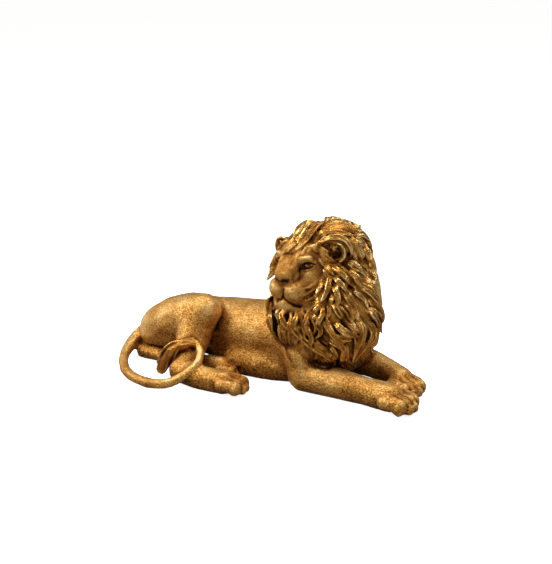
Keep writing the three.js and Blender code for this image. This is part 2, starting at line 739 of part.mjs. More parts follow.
// How much a place's surface is worth: the face and the paws keep more triangles than the body.
function care(point) {
  const [ahead, left, up] = fromHead(point);
  if (ahead > 2 && Math.abs(left) < 9 && up > -14 && up < 8) return FACE_CARE;
  return maneDistance(point) < 4 ? MANE_CARE : 1;
}

// ASSEMBLY
function model(clay) {
  addTrunk(clay);
  addHindLegs(clay);
  addForelegs(clay);
  addTail(clay);
  addMane(clay);
  addSkull(clay);
  addLocks(clay);
  addFeatures(clay);
  addEars(clay);
  addStrayLocks(clay);
}

const room = new Room();
model(room);
const clay = new Clay(room.box.min.subScalar(MARGIN), room.box.max.addScalar(MARGIN), CELL);
model(clay);
clay.makeOneBody();

const skin = new Skin(surfaceOf(clay));
skin.thin(MOST_TRIANGLES);

const wasm = await Module();
wasm.setup();
// A closed geometry as a solid.
function solidOf(shape) {
  const bare = shape.clone();
  bare.deleteAttribute('normal');
  bare.deleteAttribute('uv');
  const merged = mergeVertices(bare);
  return new wasm.Manifold(new wasm.Mesh({
    numProp: 3,
    vertProperties: new Float32Array(merged.getAttribute('position').array),
    triVerts: new Uint32Array(merged.getIndex().array),
  }));
}

// The statue is cut off flat where it rests.
const span = room.box.getSize(vec(0, 0, 0)).multiplyScalar(2);
const ground = solidOf(new THREE.BoxGeometry(span.x, span.y, span.z).translate(0, 0, -span.z / 2));
const cast = new wasm.Manifold(new wasm.Mesh(skin.result())).subtract(ground).getMesh();
const geometry = new THREE.BufferGeometry();
geometry.setAttribute('position', new THREE.BufferAttribute(cast.vertProperties, 3));
geometry.setIndex(new THREE.BufferAttribute(cast.triVerts, 1));
geometry.scale(UNIT, UNIT, UNIT);
geometry.computeBoundingBox();
const middle = geometry.boundingBox.getCenter(vec(0, 0, 0));
geometry.translate(-middle.x, -middle.y, -geometry.boundingBox.min.z);

const gold = new THREE.MeshStandardMaterial({ color: 0x9a6b2c, roughness: 0.42, metalness: 0.85 });
const lion = new THREE.Mesh(geometry, gold);
lion.name = 'lion';

const statue = new THREE.Group();
statue.add(lion);

export default statue;
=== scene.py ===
"""A gilded resin lion that lies with its head turned to its right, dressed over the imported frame."""
import json
import logging
import math
from dataclasses import dataclass
from enum import Enum
from typing import Callable, Iterator

import bmesh
import bpy
import numpy as np
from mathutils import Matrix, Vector
from mathutils.bvhtree import BVHTree
from mathutils.kdtree import KDTree

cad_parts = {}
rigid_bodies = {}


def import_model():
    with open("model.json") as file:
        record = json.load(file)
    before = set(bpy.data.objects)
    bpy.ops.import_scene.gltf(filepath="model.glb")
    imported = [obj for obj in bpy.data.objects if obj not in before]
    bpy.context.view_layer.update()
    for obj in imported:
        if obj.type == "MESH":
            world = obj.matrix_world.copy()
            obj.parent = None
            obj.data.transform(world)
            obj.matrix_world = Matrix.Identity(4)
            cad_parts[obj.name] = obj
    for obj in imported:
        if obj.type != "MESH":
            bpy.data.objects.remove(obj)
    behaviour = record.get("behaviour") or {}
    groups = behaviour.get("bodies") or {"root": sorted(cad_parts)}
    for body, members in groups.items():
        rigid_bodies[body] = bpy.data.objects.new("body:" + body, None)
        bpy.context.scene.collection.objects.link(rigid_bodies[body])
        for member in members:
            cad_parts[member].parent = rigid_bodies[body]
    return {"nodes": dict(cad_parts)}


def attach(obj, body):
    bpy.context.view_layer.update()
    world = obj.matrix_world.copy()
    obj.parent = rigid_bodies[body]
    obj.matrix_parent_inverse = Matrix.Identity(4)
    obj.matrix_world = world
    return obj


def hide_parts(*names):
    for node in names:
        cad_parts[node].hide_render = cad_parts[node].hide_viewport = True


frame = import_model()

log = logging.getLogger("lion")

UNIT = 0.0056  # a hundredth of the body's length, in metres
ORIGIN = np.array([0.0068245, 0.0543398, 0.0])  # the figure's own zero, in the frame
NODE = "lion"
SIDES = (-1, 1)

Array = np.ndarray
Station = tuple[float, float, float, float]  # a place and the radius there
# A cut's tint mostly paints shade into it, and paints paler places where it is below 0.
Line = tuple[list[Station], float, float]  # the stations of a cut, its depth and its tint


def placed(points: Array) -> Array:
    """Turns places in hundredths of the body into metres of the frame."""
    return np.asarray(points, float) * UNIT + ORIGIN


def measured(points: Array) -> Array:
    """Turns metres of the frame into hundredths of the body."""
    return (np.asarray(points, float) - ORIGIN) / UNIT


def scatter(seed: float) -> float:
    """Gives a number from 0 to 1 that looks random and is the same on every run."""
    value = math.sin(seed * 12.9898 + 4.1414) * 43758.5453
    return value - math.floor(value)


def smoothstep(value: Array | float, low: float, high: float) -> Array:
    """Rises smoothly from 0 at low to 1 at high.

    Args:
        value: The number or numbers to read.
        low: Where the rise starts.
        high: Where the rise ends.

    Returns:
        The height of the rise at each number.
    """
    share = np.clip((np.asarray(value, float) - low) / (high - low), 0.0, 1.0)
    return share * share * (3 - 2 * share)


def unit(rows: Array) -> Array:
    """Makes each row one long."""
    rows = np.asarray(rows, float)
    return rows / (np.linalg.norm(rows, axis=-1, keepdims=True) + 1e-9)


def eased(rows: Array, rounds: int) -> Array:
    """Evens out values along a line.

    Args:
        rows: One row for each place on the line.
        rounds: How many times they are evened out.

    Returns:
        The evened rows.
    """
    rows = np.array(rows, float)
    for _ in range(rounds):
        rows[1:-1] = (rows[:-2] + 2 * rows[1:-1] + rows[2:]) / 4
    return rows


def curve_through(points: Array, shares: Array) -> Array:
    """Reads a smooth curve through points.

    Args:
        points: One row for each point that the curve goes through.
        shares: How far along the curve to read, from 0 to 1.

    Returns:
        One row for each share.
    """
    points = np.asarray(points, float)
    last = len(points) - 1
    along = np.clip(shares, 0, 1) * last
    start = np.minimum(along.astype(int), last - 1)
    t = (along - start)[:, None]
    before = points[np.maximum(start - 1, 0)]
    a, b = points[start], points[start + 1]
    after = points[np.minimum(start + 2, last)]
    return 0.5 * (
        2 * a + (b - before) * t + (2 * before - 5 * a + 4 * b - after) * t**2
        + (3 * a - before - 3 * b + after) * t**3
    )


@dataclass(frozen=True)
class View:
    """Where the photograph was taken from, in the frame, and its size in pixels."""

    azimuth: float = 31.0
    elevation: float = 15.5
    distance: float = 2.2
    target: tuple[float, float, float] = (-0.0154415, 0.0543398, 0.155046)
    lens: float = 83.99
    sensor: float = 36.0
    width: int = 552
    height: int = 564

    def back(self) -> Vector:
        """Gives the direction from the target to the camera."""
        turn, rise = math.radians(self.azimuth), math.radians(self.elevation)
        return Vector((math.sin(turn) * math.cos(rise), -math.cos(turn) * math.cos(rise), math.sin(rise)))

    def eye(self) -> Vector:
        """Gives the camera's place."""
        return Vector(self.target) + self.back() * self.distance

    def reach(self) -> float:
        """Gives the lens's length in pixels."""
        return self.lens / self.sensor * max(self.width, self.height)

    def pixel(self) -> float:
        """Gives the width of one pixel at the target, in hundredths of the body."""
        return self.distance / self.reach() / UNIT

    def ray(self, x: float, y: float) -> Vector:
        """Gives the direction in which the camera sees a pixel.

        Args:
            x: Pixels from the left.
            y: Pixels from the top.

        Returns:
            A direction one long.
        """
        back = self.back()
        right = Vector((0, 0, 1)).cross(back).normalized()
        rise = back.cross(right)
        way = right * (x - self.width / 2) + rise * (self.height / 2 - y) - back * self.reach()
        return way.normalized()


class Surface:
    """The rounded body's surface, to lay hair on."""

    lean: float = 0.35  # how far the face of a traced lock leans towards the camera

    def __init__(self, obj: bpy.types.Object, view: View) -> None:
        """Reads the surface of an object.

        Args:
            obj: The object.
            view: Where it is seen from.
        """
        bpy.context.view_layer.update()
        self.tree = BVHTree.FromObject(obj, bpy.context.evaluated_depsgraph_get())
        self.view = view

    def nearest(self, point: Array) -> tuple[Array, Array]:
        """Finds the nearest place on the surface.

        Args:
            point: A place in hundredths of the body.

        Returns:
            The place on the surface and the direction straight out of it.
        """
        place, normal, _, _ = self.tree.find_nearest(Vector(placed(point)))
        return measured(place), np.array(normal)

    def traced(self, dots: Array) -> tuple[Array, Array]:
        """Lays a line of the photograph on the surface, as the camera sees it.

        Args:
            dots: The line's pixels.

        Returns:
            The places on the surface and the directions straight out of it.
        """
        eye = self.view.eye()
        rays = [self.view.ray(x, y) for x, y in dots]
        hits = [self.tree.ray_cast(eye, ray) for ray in rays]
        met = [i for i, hit in enumerate(hits) if hit[0] is not None]
        if not met:
            return np.zeros((0, 3)), np.zeros((0, 3))
        depth = np.interp(range(len(dots)), met, [hits[i][3] for i in met])
        depth = np.minimum(depth, eased(depth[:, None], 3)[:, 0])
        points = [measured(eye + ray * far) for ray, far in zip(rays, depth)]
        normals = [hits[min(met, key=lambda m: abs(m - i))][1] for i in range(len(dots))]
        faces = unit(eased(np.array(normals), 2) + self.lean * np.array(self.view.back()))
        return np.array(points), faces


@dataclass(frozen=True)
class Head:
    """The head's own frame: ahead along the nose, left to the lion's left, and up."""

    centre: tuple[float, float, float] = (9.5, -4.0, 37.4)
    yaw: float = -99.0

    def axes(self) -> Array:
        """Gives the head's ahead, left and up directions as rows."""
        turn = math.radians(self.yaw)
        return np.array([
            [math.cos(turn), math.sin(turn), 0], [-math.sin(turn), math.cos(turn), 0], [0, 0, 1],
        ])

    def at(self, points: Array) -> Array:
        """Places points of the head's frame in the figure."""
        return np.asarray(points, float) @ self.axes() + np.array(self.centre)

    def read(self, points: Array) -> Array:
        """Reads the figure's points in the head's frame."""
        return (np.asarray(points, float) - np.array(self.centre)) @ self.axes().T

    def stations(self, rows: list[Station]) -> list[Station]:
        """Places stations of the head's frame, each with its radius, in the figure."""
        return [(*self.at(row[:3]), row[3]) for row in rows]


@dataclass(frozen=True)
class Rod:
    """A closed rod that is bent into strands, lids, toes and claws."""

    sides: int
    rings: int

    def blank(self) -> bpy.types.Mesh:
        """Makes the straight rod, one long and one in radius.

        Returns:
            A mesh whose Z goes from 0 to 1 along the rod.
        """
        bm = bmesh.new()
        bmesh.ops.create_cone(
            bm, cap_ends=True, segments=self.sides, radius1=1.0, radius2=1.0, depth=1.0
        )
        lengthwise = [e for e in bm.edges if abs(e.verts[0].co.z - e.verts[1].co.z) > 0.5]
        bmesh.ops.subdivide_edges(bm, edges=lengthwise, cuts=self.rings - 1, use_grid_fill=True)
        bmesh.ops.translate(bm, verts=bm.verts, vec=(0, 0, 0.5))
        bmesh.ops.recalc_face_normals(bm, faces=bm.faces)
        mesh = bpy.data.meshes.new("rod")
        bm.to_mesh(mesh)
        bm.free()
        return mesh


class Bundle:
    """Rods that are bent to shape and gathered, to be joined to the body."""

    guide_steps: int = 14
    aslant: tuple = (0.31, 0.2, 0.93)  # a direction that no limb runs in
    end_reach: float = 0.8
    end_width: float = 0.3

    def __init__(self, rod: Rod) -> None:
        """Starts an empty bundle.

        Args:
            rod: The kind of rod that it is made of.
        """
        self.blank = rod.blank()
        rest = np.zeros(len(self.blank.vertices) * 3)
        self.blank.vertices.foreach_get("co", rest)
        rest = rest.reshape(-1, 3)
        self.share = rest[:, 2]
        self.across = rest[:, :1]
        self.height = rest[:, 1:2]
        self.objects: list[bpy.types.Object] = []
        self.guides: list[Array] = []

    def bend(self, path: Array, widths: Array, thick: Array, up: Array) -> None:
        """Bends one rod along a path.

        Args:
            path: Points that the middle of the rod goes through, in hundredths of the body.
            widths: Half the width at each point.
            thick: Half the thickness at each point.
            up: The direction that the flat face looks in at each point.
        """
        middle = curve_through(path, self.share)
        ahead = unit(curve_through(path, self.share + 0.02) - curve_through(path, self.share - 0.02))
        side = unit(np.cross(ahead, curve_through(up, self.share)))
        face = np.cross(side, ahead)
        width = curve_through(np.asarray(widths)[:, None], self.share)
        depth = curve_through(np.asarray(thick)[:, None], self.share)
        points = placed(middle + side * self.across * width + face * self.height * depth)
        self.guides.append(self.guide(np.asarray(path), np.asarray(up)))
        mesh = self.blank.copy()
        mesh.vertices.foreach_set("co", points.ravel())
        made = bpy.data.objects.new("strand", mesh)
        bpy.context.scene.collection.objects.link(made)
        self.objects.append(made)

    def guide(self, path: Array, up: Array) -> Array:
        """Follows a rod's middle, so that a pattern can be laid along it.

        Args:
            path: Points that the middle of the rod goes through.
            up: The direction that the flat face looks in at each point.

        Returns:
            Rows of a place, the direction across, the direction ahead, the length so far and the rod's
            number.
        """
        middle = curve_through(path, np.linspace(0, 1, self.guide_steps))
        ahead = unit(np.gradient(middle, axis=0))
        side = unit(np.cross(ahead, curve_through(up, np.linspace(0, 1, self.guide_steps))))
        run = np.cumsum(np.linalg.norm(np.diff(middle, axis=0, prepend=middle[:1]), axis=1))
        number = np.full((len(middle), 1), float(len(self.guides)))
        return np.hstack([middle, side, ahead, run[:, None], number])

    def limb(self, stations: list[Station]) -> None:
        """Bends one round rod through stations that each have a radius, and rounds its ends.

        Args:
            stations: Places and radii, in hundredths of the body.
        """
        rows = np.array(stations, float)
        places, radii = rows[:, :3], rows[:, 3]
        up = np.cross(places[-1] - places[0], self.aslant)
        start = places[0] - unit(places[1] - places[0]) * radii[0] * self.end_reach
        end = places[-1] + unit(places[-1] - places[-2]) * radii[-1] * self.end_reach
        path = np.vstack([start, places, end])
        widths = np.concatenate([[radii[0] * self.end_width], radii, [radii[-1] * self.end_width]])
        self.bend(path, widths, widths, np.tile(up, (len(path), 1)))


@dataclass(frozen=True)
class Lock:
    """A lock of hair: a fan of tapered strands over a softer body, all in hundredths of the body."""

    spacing: float = 0.72
    most: int = 5
    flatness: float = 0.55
    body: float = 0.95
    strand: float = 0.6
    split: float = 0.34
    wave: float = 0.16
    sunk: float = 0.55
    steps: int = 9
    taper_at: tuple = (0, 0.25, 0.7, 1)
    taper: tuple = (0.5, 1, 0.8, 0.12)

    def full(self, steps: int) -> Array:
        """Gives how full a lock is at each step from its root to its tip."""
        share = np.linspace(0, 1, steps)
        return np.sin(math.pi * np.minimum(0.15 + 0.85 * share, 0.985)) ** 0.6

    def rooted(self, steps: int) -> Array:
        """Gives how far a lock is sunk into the hair at each step, as shares of its width."""
        return self.sunk * (1 - smoothstep(np.linspace(0, 1, steps), 0, 0.3))

    def lay(self, bundle: Bundle, path: Array, faces: Array, radii: Array, seed: float) -> None:
        """Lays one lock along a path.

        Args:
            bundle: The bundle that it joins.
            path: The middle of the lock.
            faces: The direction straight out of the hair at each point.
            radii: Half its width at each point.
            seed: What makes its strands its own.
        """
        bundle.bend(path, radii * self.body, radii * self.flatness * self.body, faces)
        count = int(min(self.most, max(2, round(2 * radii.max() / self.spacing))))
        run = np.linspace(0, 1, self.steps)
        taper = np.interp(run, self.taper_at, self.taper)
        for k in range(count):
            place = 2 * (k + 0.5) / count - 1
            chance = [scatter(seed + 1.7 * k + 0.31 * j) for j in range(5)]
            last = 1 - self.split * abs(place) * chance[1]
            shares = np.linspace(0.12 * chance[0], last, self.steps)
            middle = curve_through(path, shares)
            face = curve_through(faces, shares)
            half = curve_through(radii[:, None], shares)
            side = unit(np.cross(np.gradient(middle, axis=0), face))
            sway = np.sin(run * (4 + 3 * chance[2]) + 6.3 * chance[3])
            drift = place * (1 + 0.25 * run) + self.wave * sway
            crown = self.flatness * math.sqrt(1 - (0.8 * place) ** 2) * (0.85 + 0.3 * chance[4])
            line = middle + side * half * drift[:, None] + face * half * crown
            thick = self.spacing * self.strand * (0.85 + 0.35 * chance[2]) * taper
            bundle.bend(line, thick, thick * 1.15, face)


# The main locks of the side that the photograph shows: each one's width, then the pixels that it goes
# through from its root to its tip.
CROWN = (
    (8, (320, 225), (311, 224.5), (304, 229), (298, 236), (295, 241)),
    (7, (318, 223), (309, 229), (303, 237), (300, 243), (291, 251), (277, 257)),
    (5, (323, 221), (316, 227), (309, 234), (305, 242), (299, 249), (290, 255)),
    (5, (308, 226), (301, 230), (298, 237), (298, 243), (290, 248)),
    (7, (322, 228), (331, 225.5), (342, 226.5), (352, 229), (361, 226)),
    (7, (318, 230), (328, 229), (340, 229), (350, 231.5), (360, 233)),
    (5, (323, 232.5), (333, 233), (344, 234.5), (355, 236.5)),
    (4, (312, 242), (317, 236), (325, 232), (333, 231)),
    (4, (314, 244), (320, 239), (327, 235), (336, 233.5)),
)
EAR_SIDE = (
    (5, (317, 243), (323, 240), (331, 237.5), (341, 238), (348, 243), (351.5, 250), (352, 257)),
    (6, (346, 236.5), (353, 241), (358, 248), (361, 256), (358, 263)),
    (6, (353, 237), (359, 242), (364, 250), (367, 258), (366, 266)),
    (6, (357, 258), (364, 265), (370, 272), (373, 280), (373, 288)),
    (4, (324, 246), (324, 251), (328, 256), (334, 259)),
    (4, (320, 250), (323, 257), (328, 264), (333, 268)),
    (4, (319, 256), (323, 263), (329, 270), (335, 276)),
    (5, (326, 260), (333, 267), (340, 274), (347, 281), (352, 288)),
    (5, (330, 262), (337, 266), (343, 273), (349, 278)),
    (6, (345, 261), (352, 264.5), (359, 270), (365, 278)),
    (6, (347, 269), (353, 275), (358, 282), (364, 289)),
    (5, (341, 262), (344, 270), (350, 278), (355, 287), (360, 295)),
)
CHEEK = (
    (5, (329, 272), (330, 279), (328, 288), (324, 297), (320, 303)),
    (4, (324, 274), (322, 283), (319, 291), (314, 300)),
    (5, (333, 276), (338, 281), (343, 286), (346, 293)),
    (6, (334, 282), (337, 290), (338.5, 299), (337, 307)),
    (7, (331, 291), (332, 300), (329, 309), (325, 320)),
    (5, (333, 300), (336, 309), (340, 316), (346, 319)),
    (6, (325, 317), (326.5, 324), (331, 331), (337, 336)),
    (4, (321, 303), (316, 310), (312, 318), (316, 327), (313, 337)),
    (5, (310, 315), (305.5, 322), (306, 330), (311, 337)),
    (4, (315, 304), (312, 311), (315, 317), (321, 321)),
    (4, (318, 320), (321, 327), (320, 334), (315, 339)),
    (4, (300, 309), (303, 316), (301, 324), (304, 333)),
)
FLANK = (
    (7, (342, 287), (347, 296), (352, 304), (356, 313), (357, 322)),
    (6, (350, 288), (357, 293), (363, 300), (367, 310)),
    (7, (354, 282), (362, 287), (370, 293), (376, 301), (379, 309)),
    (6, (365, 278), (371, 285), (376, 292), (380, 301)),
    (7, (366, 296), (373, 302), (378, 310), (380.5, 319), (378, 325)),
    (7, (366, 306), (372, 314), (377, 323), (380, 334)),
    (6, (344, 300), (349, 307), (353, 315), (352, 323)),
    (7, (339, 315), (346, 319), (353, 325), (358, 333)),
    (6, (334, 322), (340, 328), (346, 333), (352, 338)),
    (6, (329, 330), (334, 336), (342, 339.5), (351, 340)),
    (7, (357, 316), (361, 327), (361, 338), (357, 349), (352, 361)),
    (7, (366, 318), (370, 328), (371, 337), (366, 346)),
    (5, (373, 322), (376, 331), (374, 339), (370, 347)),
    (5, (366, 338), (363, 346), (357, 355), (353, 362)),
    (6, (341, 341), (345, 349), (344, 357), (339, 363)),
)
CHEST = (
    (5, (286, 309), (283, 315), (284, 322), (288, 330)),
    (4, (279, 308), (277, 315), (279, 323), (278, 332)),
    (4, (296, 310), (297, 317), (294, 324), (297, 331)),
    (4, (271, 304), (271.5, 314), (273, 324), (274, 334)),
    (5, (290, 322), (295, 330), (301, 337), (306, 344)),
    (5, (298, 330), (304, 338), (310, 344), (313, 351)),
    (5, (320, 339), (327, 342.5), (333, 348), (338, 356)),
    (5, (322, 331), (329, 338), (337, 344), (344, 352)),
    (5, (313, 336), (319, 344), (326, 350), (332, 358)),
    (5, (303, 321), (309, 330), (312, 340), (308, 349)),
    (5, (309, 340), (316, 348), (324, 354), (331, 361)),
    (5, (330, 335), (338, 342), (345, 349), (349, 358)),
    (4, (290, 311), (292, 319), (290, 328), (294, 335)),
    (4, (307, 306), (309, 313), (307, 320), (310, 326)),
    (5, (322, 305), (322, 314), (318, 323), (321, 332)),
    (5, (345, 325), (352, 332), (356, 341), (353, 351)),
    (5, (335, 305), (342, 310), (348, 318), (350, 327)),
    (5, (296, 321), (298, 329), (304, 336), (306, 345)),
)
FACE_FUR = (
    (3, (302, 256), (305, 249), (311, 243)),
    (3, (296, 261), (299, 252), (304, 244)),
    (3, (308, 253), (312, 248), (317, 245)),
    (3, (290, 262), (294, 255), (298, 249)),
    (3, (303, 289), (310, 287), (316, 283), (321, 278)),
    (3, (302, 296), (308, 293), (314, 289), (319, 284)),
    (3, (304, 302), (310, 299), (316, 295), (320, 289)),
)

# The folds of the skin that the photograph shows: each one's radius, then the pixels that it goes through.
# They are the front of the haunch, the shoulder and the elbow.
CREASES = (
    (0.7, (219, 297), (223, 306), (221.5, 316), (217.5, 326), (211, 338), (207, 350), (204, 361)),
    (1.0, (272, 299), (273, 315), (276, 330), (284, 350), (293, 368)),
    (0.9, (300, 352), (306, 360), (316, 366), (328, 368)),
)

# The locks that leave the mane, in the head's frame and with their radii: the quiff swept back, the
# tuft and the forelock that fall to the far side, and the locks beside the far cheek.
STRAY_LOCKS = (
    ((-1.4, 4.0, 10.6, 0.9), (-3.2, 6.4, 10.4, 1.8), (-5, 8.6, 9.8, 1.9), (-7, 10.8, 9.4, 1.3),
     (-8, 12.6, 10.6, 0.4)),
    ((-0.4, 4.6, 9.2, 0.9), (-2.6, 8, 8.8, 1.6), (-5.2, 10.6, 7.8, 1.5), (-7.4, 12.6, 7.2, 0.5)),
    ((-1, 4.6, 10.4, 1.0), (1, 2.2, 9.6, 1.5), (3, 0.2, 8, 1.4), (4.5, -2.3, 5.4, 1.3),
     (5, -5.2, 2.7, 1.0), (5, -8.4, 0.1, 0.4)),
    ((-2.5, 2, 9.6, 0.9), (-1.5, -1.6, 8.6, 1.6), (-0.5, -4.1, 7.2, 1.5), (0.5, -5.3, 5.4, 1.0),
     (0.8, -6, 4, 0.4)),
    ((1.4, -7.4, -1, 1.5), (3.4, -9.6, -3.6, 1.4), (5.4, -11.4, -7.4, 0.4)),
    ((1.4, -7.4, 2.4, 1.3), (3.2, -9.2, 0, 1.2), (4.8, -11, -3.4, 0.4)),
)


@dataclass(frozen=True)
class Mane:
    """The mass of hair, the rows of locks that are combed over it, and the locks that the camera sees.

    Each mass has a centre and radii. A row round the neck has its height, its middle, and the number,
    length and width of its locks. A row over the crown has its angle from straight ahead, in degrees, and
    the same three.
    """

    masses: tuple = (
        ((12.3, 1.0, 40.6), (8.4, 7.6, 5.4)),
        ((12.2, 3.2, 36.2), (11.0, 10, 10.0)),
        ((14.6, 1.0, 26), (12.0, 11.2, 13)),
        ((9.5, -6.2, 24), (9.5, 8.6, 8.6)),
        ((18.6, -0.8, 17.2), (8.8, 9.6, 9.5)),
    )
    blend: float = 4.0
    neck_rows: tuple = (
        (13.5, (18.5, -1), 17, 8, 3.8),
        (18, (15, -2), 23, 9.5, 3.9),
        (22.5, (13, -1.5), 25, 10.5, 3.9),
        (27, (13.5, -0.5), 24, 11, 3.9),
        (31.5, (14, 1), 22, 11, 3.9),
        (36, (13, 3), 20, 11, 3.8),
    )
    crown_rows: tuple = (
        (104, 11, 10, 3.6), (78, 11, 10, 3.5), (54, 9, 9.5, 3.3), (128, 10, 10, 3.8), (150, 6, 9, 3.8),
    )
    steps: int = 7
    root_lift: float = -0.1
    tip_lift: float = 0.6
    chin_stand: float = 1.3
    clearance: float = 2.4
    stray_share: float = 0.6
    seen_swell: float = 1.15
    parting: tuple = (6, 0, 6.5)
    crown_seat: tuple = (-1, 0, 1)
    crown_arc: float = 100.0
    face_edge: tuple = (
        (5.4, 4.4, 6.2), (4.2, 6.8, 4.2), (3.4, 7.8, 1.4), (3.2, 8.2, -2), (3.6, 8, -5.4), (4.4, 7.2, -8.8),
    )
    edge_locks: int = 11
    edge_length: tuple[float, float] = (5.5, 2.5)
    edge_radius: float = 0.85
    stray_seed: int = 300
    seen_seed: int = 400
    edge_seed: int = 900
    head: Head = Head()
    lock: Lock = Lock()

    def distance(self, p: Array) -> float:
        """Says how far a point is outside the mass of hair.

        Args:
            p: The point.

        Returns:
            The distance, less than 0 inside.
        """
        whole = None
        for centre, radii in self.masses:
            share = (p - np.array(centre)) / np.array(radii)
            far = np.linalg.norm(share)
            near = far * (far - 1) / max(np.linalg.norm(share / np.array(radii)), 1e-6)
            if whole is None:
                whole = near
                continue
            close = max(self.blend - abs(whole - near), 0) / self.blend
            whole = min(whole, near) - close * close * self.blend / 4
        return float(whole)

    def outward(self, p: Array) -> Array:
        """Gives the direction straight out of the hair at a point."""
        slope = [self.distance(p + step) - self.distance(p - step) for step in np.eye(3) * 0.2]
        return unit(np.array(slope))

    def onto(self, inside: Array, way: Array) -> Array:
        """Goes from a place inside the hair straight out to its surface.

        Args:
            inside: Where it starts.
            way: The direction.

        Returns:
            The first place that isn't inside.
        """
        p = np.array(inside, float)
        for _ in range(80):
            if self.distance(p) >= 0:
                break
            p = p + np.asarray(way) * 0.5
        return p

    def combed(self, p: Array, normal: Array, swing: float) -> Array:
        """Gives the way that the hair runs.

        Args:
            p: The place on the mane.
            normal: The direction straight out of the hair there.
            swing: How far the strand turns aside, in radians.

        Returns:
            A direction along the mane.
        """
        away = p - self.head.at(self.parting)
        reach = float(np.linalg.norm(away))
        fall = float(smoothstep(reach, 6, 22))
        way = away / reach * (1 - 0.75 * fall) + np.array([0, 0, -1.15 * fall])
        way = unit(way - normal * way.dot(normal))
        return way * math.cos(swing) + np.cross(normal, way) * math.sin(swing)

    def bare(self, p: Array) -> bool:
        """Says whether no row's hair grows at a point.

        Args:
            p: The point.

        Returns:
            Whether the face or the parting is there.
        """
        ahead, left, up = self.head.read(p)
        face = ahead > 1 and abs(left) < 7.8 and -12.5 < up < 6.5
        return bool(face or (ahead > -5 and up > 6.5 and left < 8))

    def grown(self, root: Array, length: float, width: float, seed: float, stand: float) -> tuple:
        """Follows the hair from a root, as one lock.

        Args:
            root: Where it grows.
            length: Its length.
            width: Its width.
            seed: What makes its curl its own.
            stand: How much further it stands out.

        Returns:
            The lock's path, its faces, its radii and its seed.
        """
        p = np.array(root, float)
        phase = scatter(seed) * math.pi * 2
        curl = 0.35 + 0.4 * scatter(seed + 0.5)
        path, faces = [], []
        for i in range(self.steps + 1):
            share = i / self.steps
            normal = self.outward(p)
            lift = stand + width * (self.root_lift + (self.tip_lift - self.root_lift) * share)
            p = p + normal * (lift - self.distance(p))
            path.append(p)
            faces.append(normal)
            p = p + self.combed(p, normal, curl * math.sin(phase + share * 4.2)) * length / self.steps
        radii = width * 0.5 * self.lock.full(self.steps + 1)
        sunk = self.lock.rooted(self.steps + 1)[:, None] * width
        return np.array(path) - np.array(faces) * sunk, np.array(faces), radii, seed

    def rows(self) -> Iterator[tuple]:
        """Grows the rows round the neck and over the crown.

        Yields:
            Each lock.
        """
        seed = 1
        for height, middle, count, length, width in self.neck_rows:
            for i in range(count):
                seed += 1
                angle = (i + 0.5 * scatter(height) + 0.35 * scatter(seed)) / count * math.pi * 2
                way = np.array([math.cos(angle), math.sin(angle), 0])
                root = self.onto(np.array([*middle, height]), way)
                if not self.bare(root):
                    stand = self.chin_stand * max(float(way @ self.head.axes()[0]), 0)
                    yield self.grown(root, length * (0.85 + 0.3 * scatter(seed)), width, seed, stand)
        for spread, count, length, width in self.crown_rows:
            for i in range(count):
                seed += 1
                turn = math.radians(self.crown_arc * (2 * (i + 0.5) / count - 1))
                lean = math.radians(spread)
                aside = math.sin(lean)
                way = np.array([math.cos(lean), aside * math.sin(turn), aside * math.cos(turn)])
                root = self.onto(self.head.at(self.crown_seat), way @ self.head.axes())
                if not self.bare(root):
                    yield self.grown(root, length, width, seed, 0)

    def seen(self, surface: Surface) -> Iterator[tuple]:
        """Lays the main locks of the side that the photograph shows.

        Args:
            surface: The body that they lie on.

        Yields:
            Each lock.
        """
        steps = self.steps + 2
        pixel = surface.view.pixel()
        for k, (width, *dots) in enumerate((*CROWN, *EAR_SIDE, *CHEEK, *FLANK, *CHEST)):
            path, faces = surface.traced(curve_through(np.array(dots), np.linspace(0, 1, steps)))
            if len(path):
                half = width * pixel / 2 * self.seen_swell
                lift = np.linspace(0.05, 0.7, len(path)) - 2 * self.lock.rooted(len(path))
                lift = (half * lift)[:, None]
                yield path + faces * lift, faces, half * self.lock.full(len(path)), self.seen_seed + k

    def face_side(self, surface: Surface) -> Iterator[tuple]:
        """Lays the short locks that frame the face on both sides.

        Args:
            surface: The body that they lie on.

        Yields:
            Each lock.
        """
        roots = curve_through(np.array(self.face_edge), np.linspace(0, 1, self.edge_locks))
        shares = np.linspace(0, 1, self.steps)
        shortest, more = self.edge_length
        for side in SIDES:
            for i, root in enumerate(roots):
                down = 0.35 + 0.6 * i / self.edge_locks
                way = unit(np.array([-0.75 + 0.5 * down, 0.45 * (1 - down) + 0.25, -down]))
                length = shortest + more * scatter(i + 60)
                bow = np.array([0.8, 0.5, 0]) * (scatter(i + 70) - 0.3)
                rows = [root, root + way * length * 0.5 + bow, root + way * length]
                path, faces = [], []
                for share, p in zip(shares, curve_through(rows, shares)):
                    place, normal = surface.nearest(self.head.at(p * [1, side, 1]))
                    path.append(place + normal * (0.1 + 0.5 * share))
                    faces.append(normal)
                radii = self.edge_radius * self.lock.full(len(path))
                yield eased(np.array(path), 2), unit(eased(np.array(faces), 2)), radii, self.edge_seed + i

    def strays(self) -> Iterator[tuple]:
        """Places the locks that leave the mane.

        Yields:
            Each lock.
        """
        for k, rows in enumerate(STRAY_LOCKS):
            stations = np.array(self.head.stations(list(rows)))
            run = curve_through(stations, np.linspace(0, 1, self.steps + 1))
            out = unit(run[:, :3] - self.head.at([0, 0, 0]))
            yield run[:, :3], out, run[:, 3] * self.stray_share, self.stray_seed + k

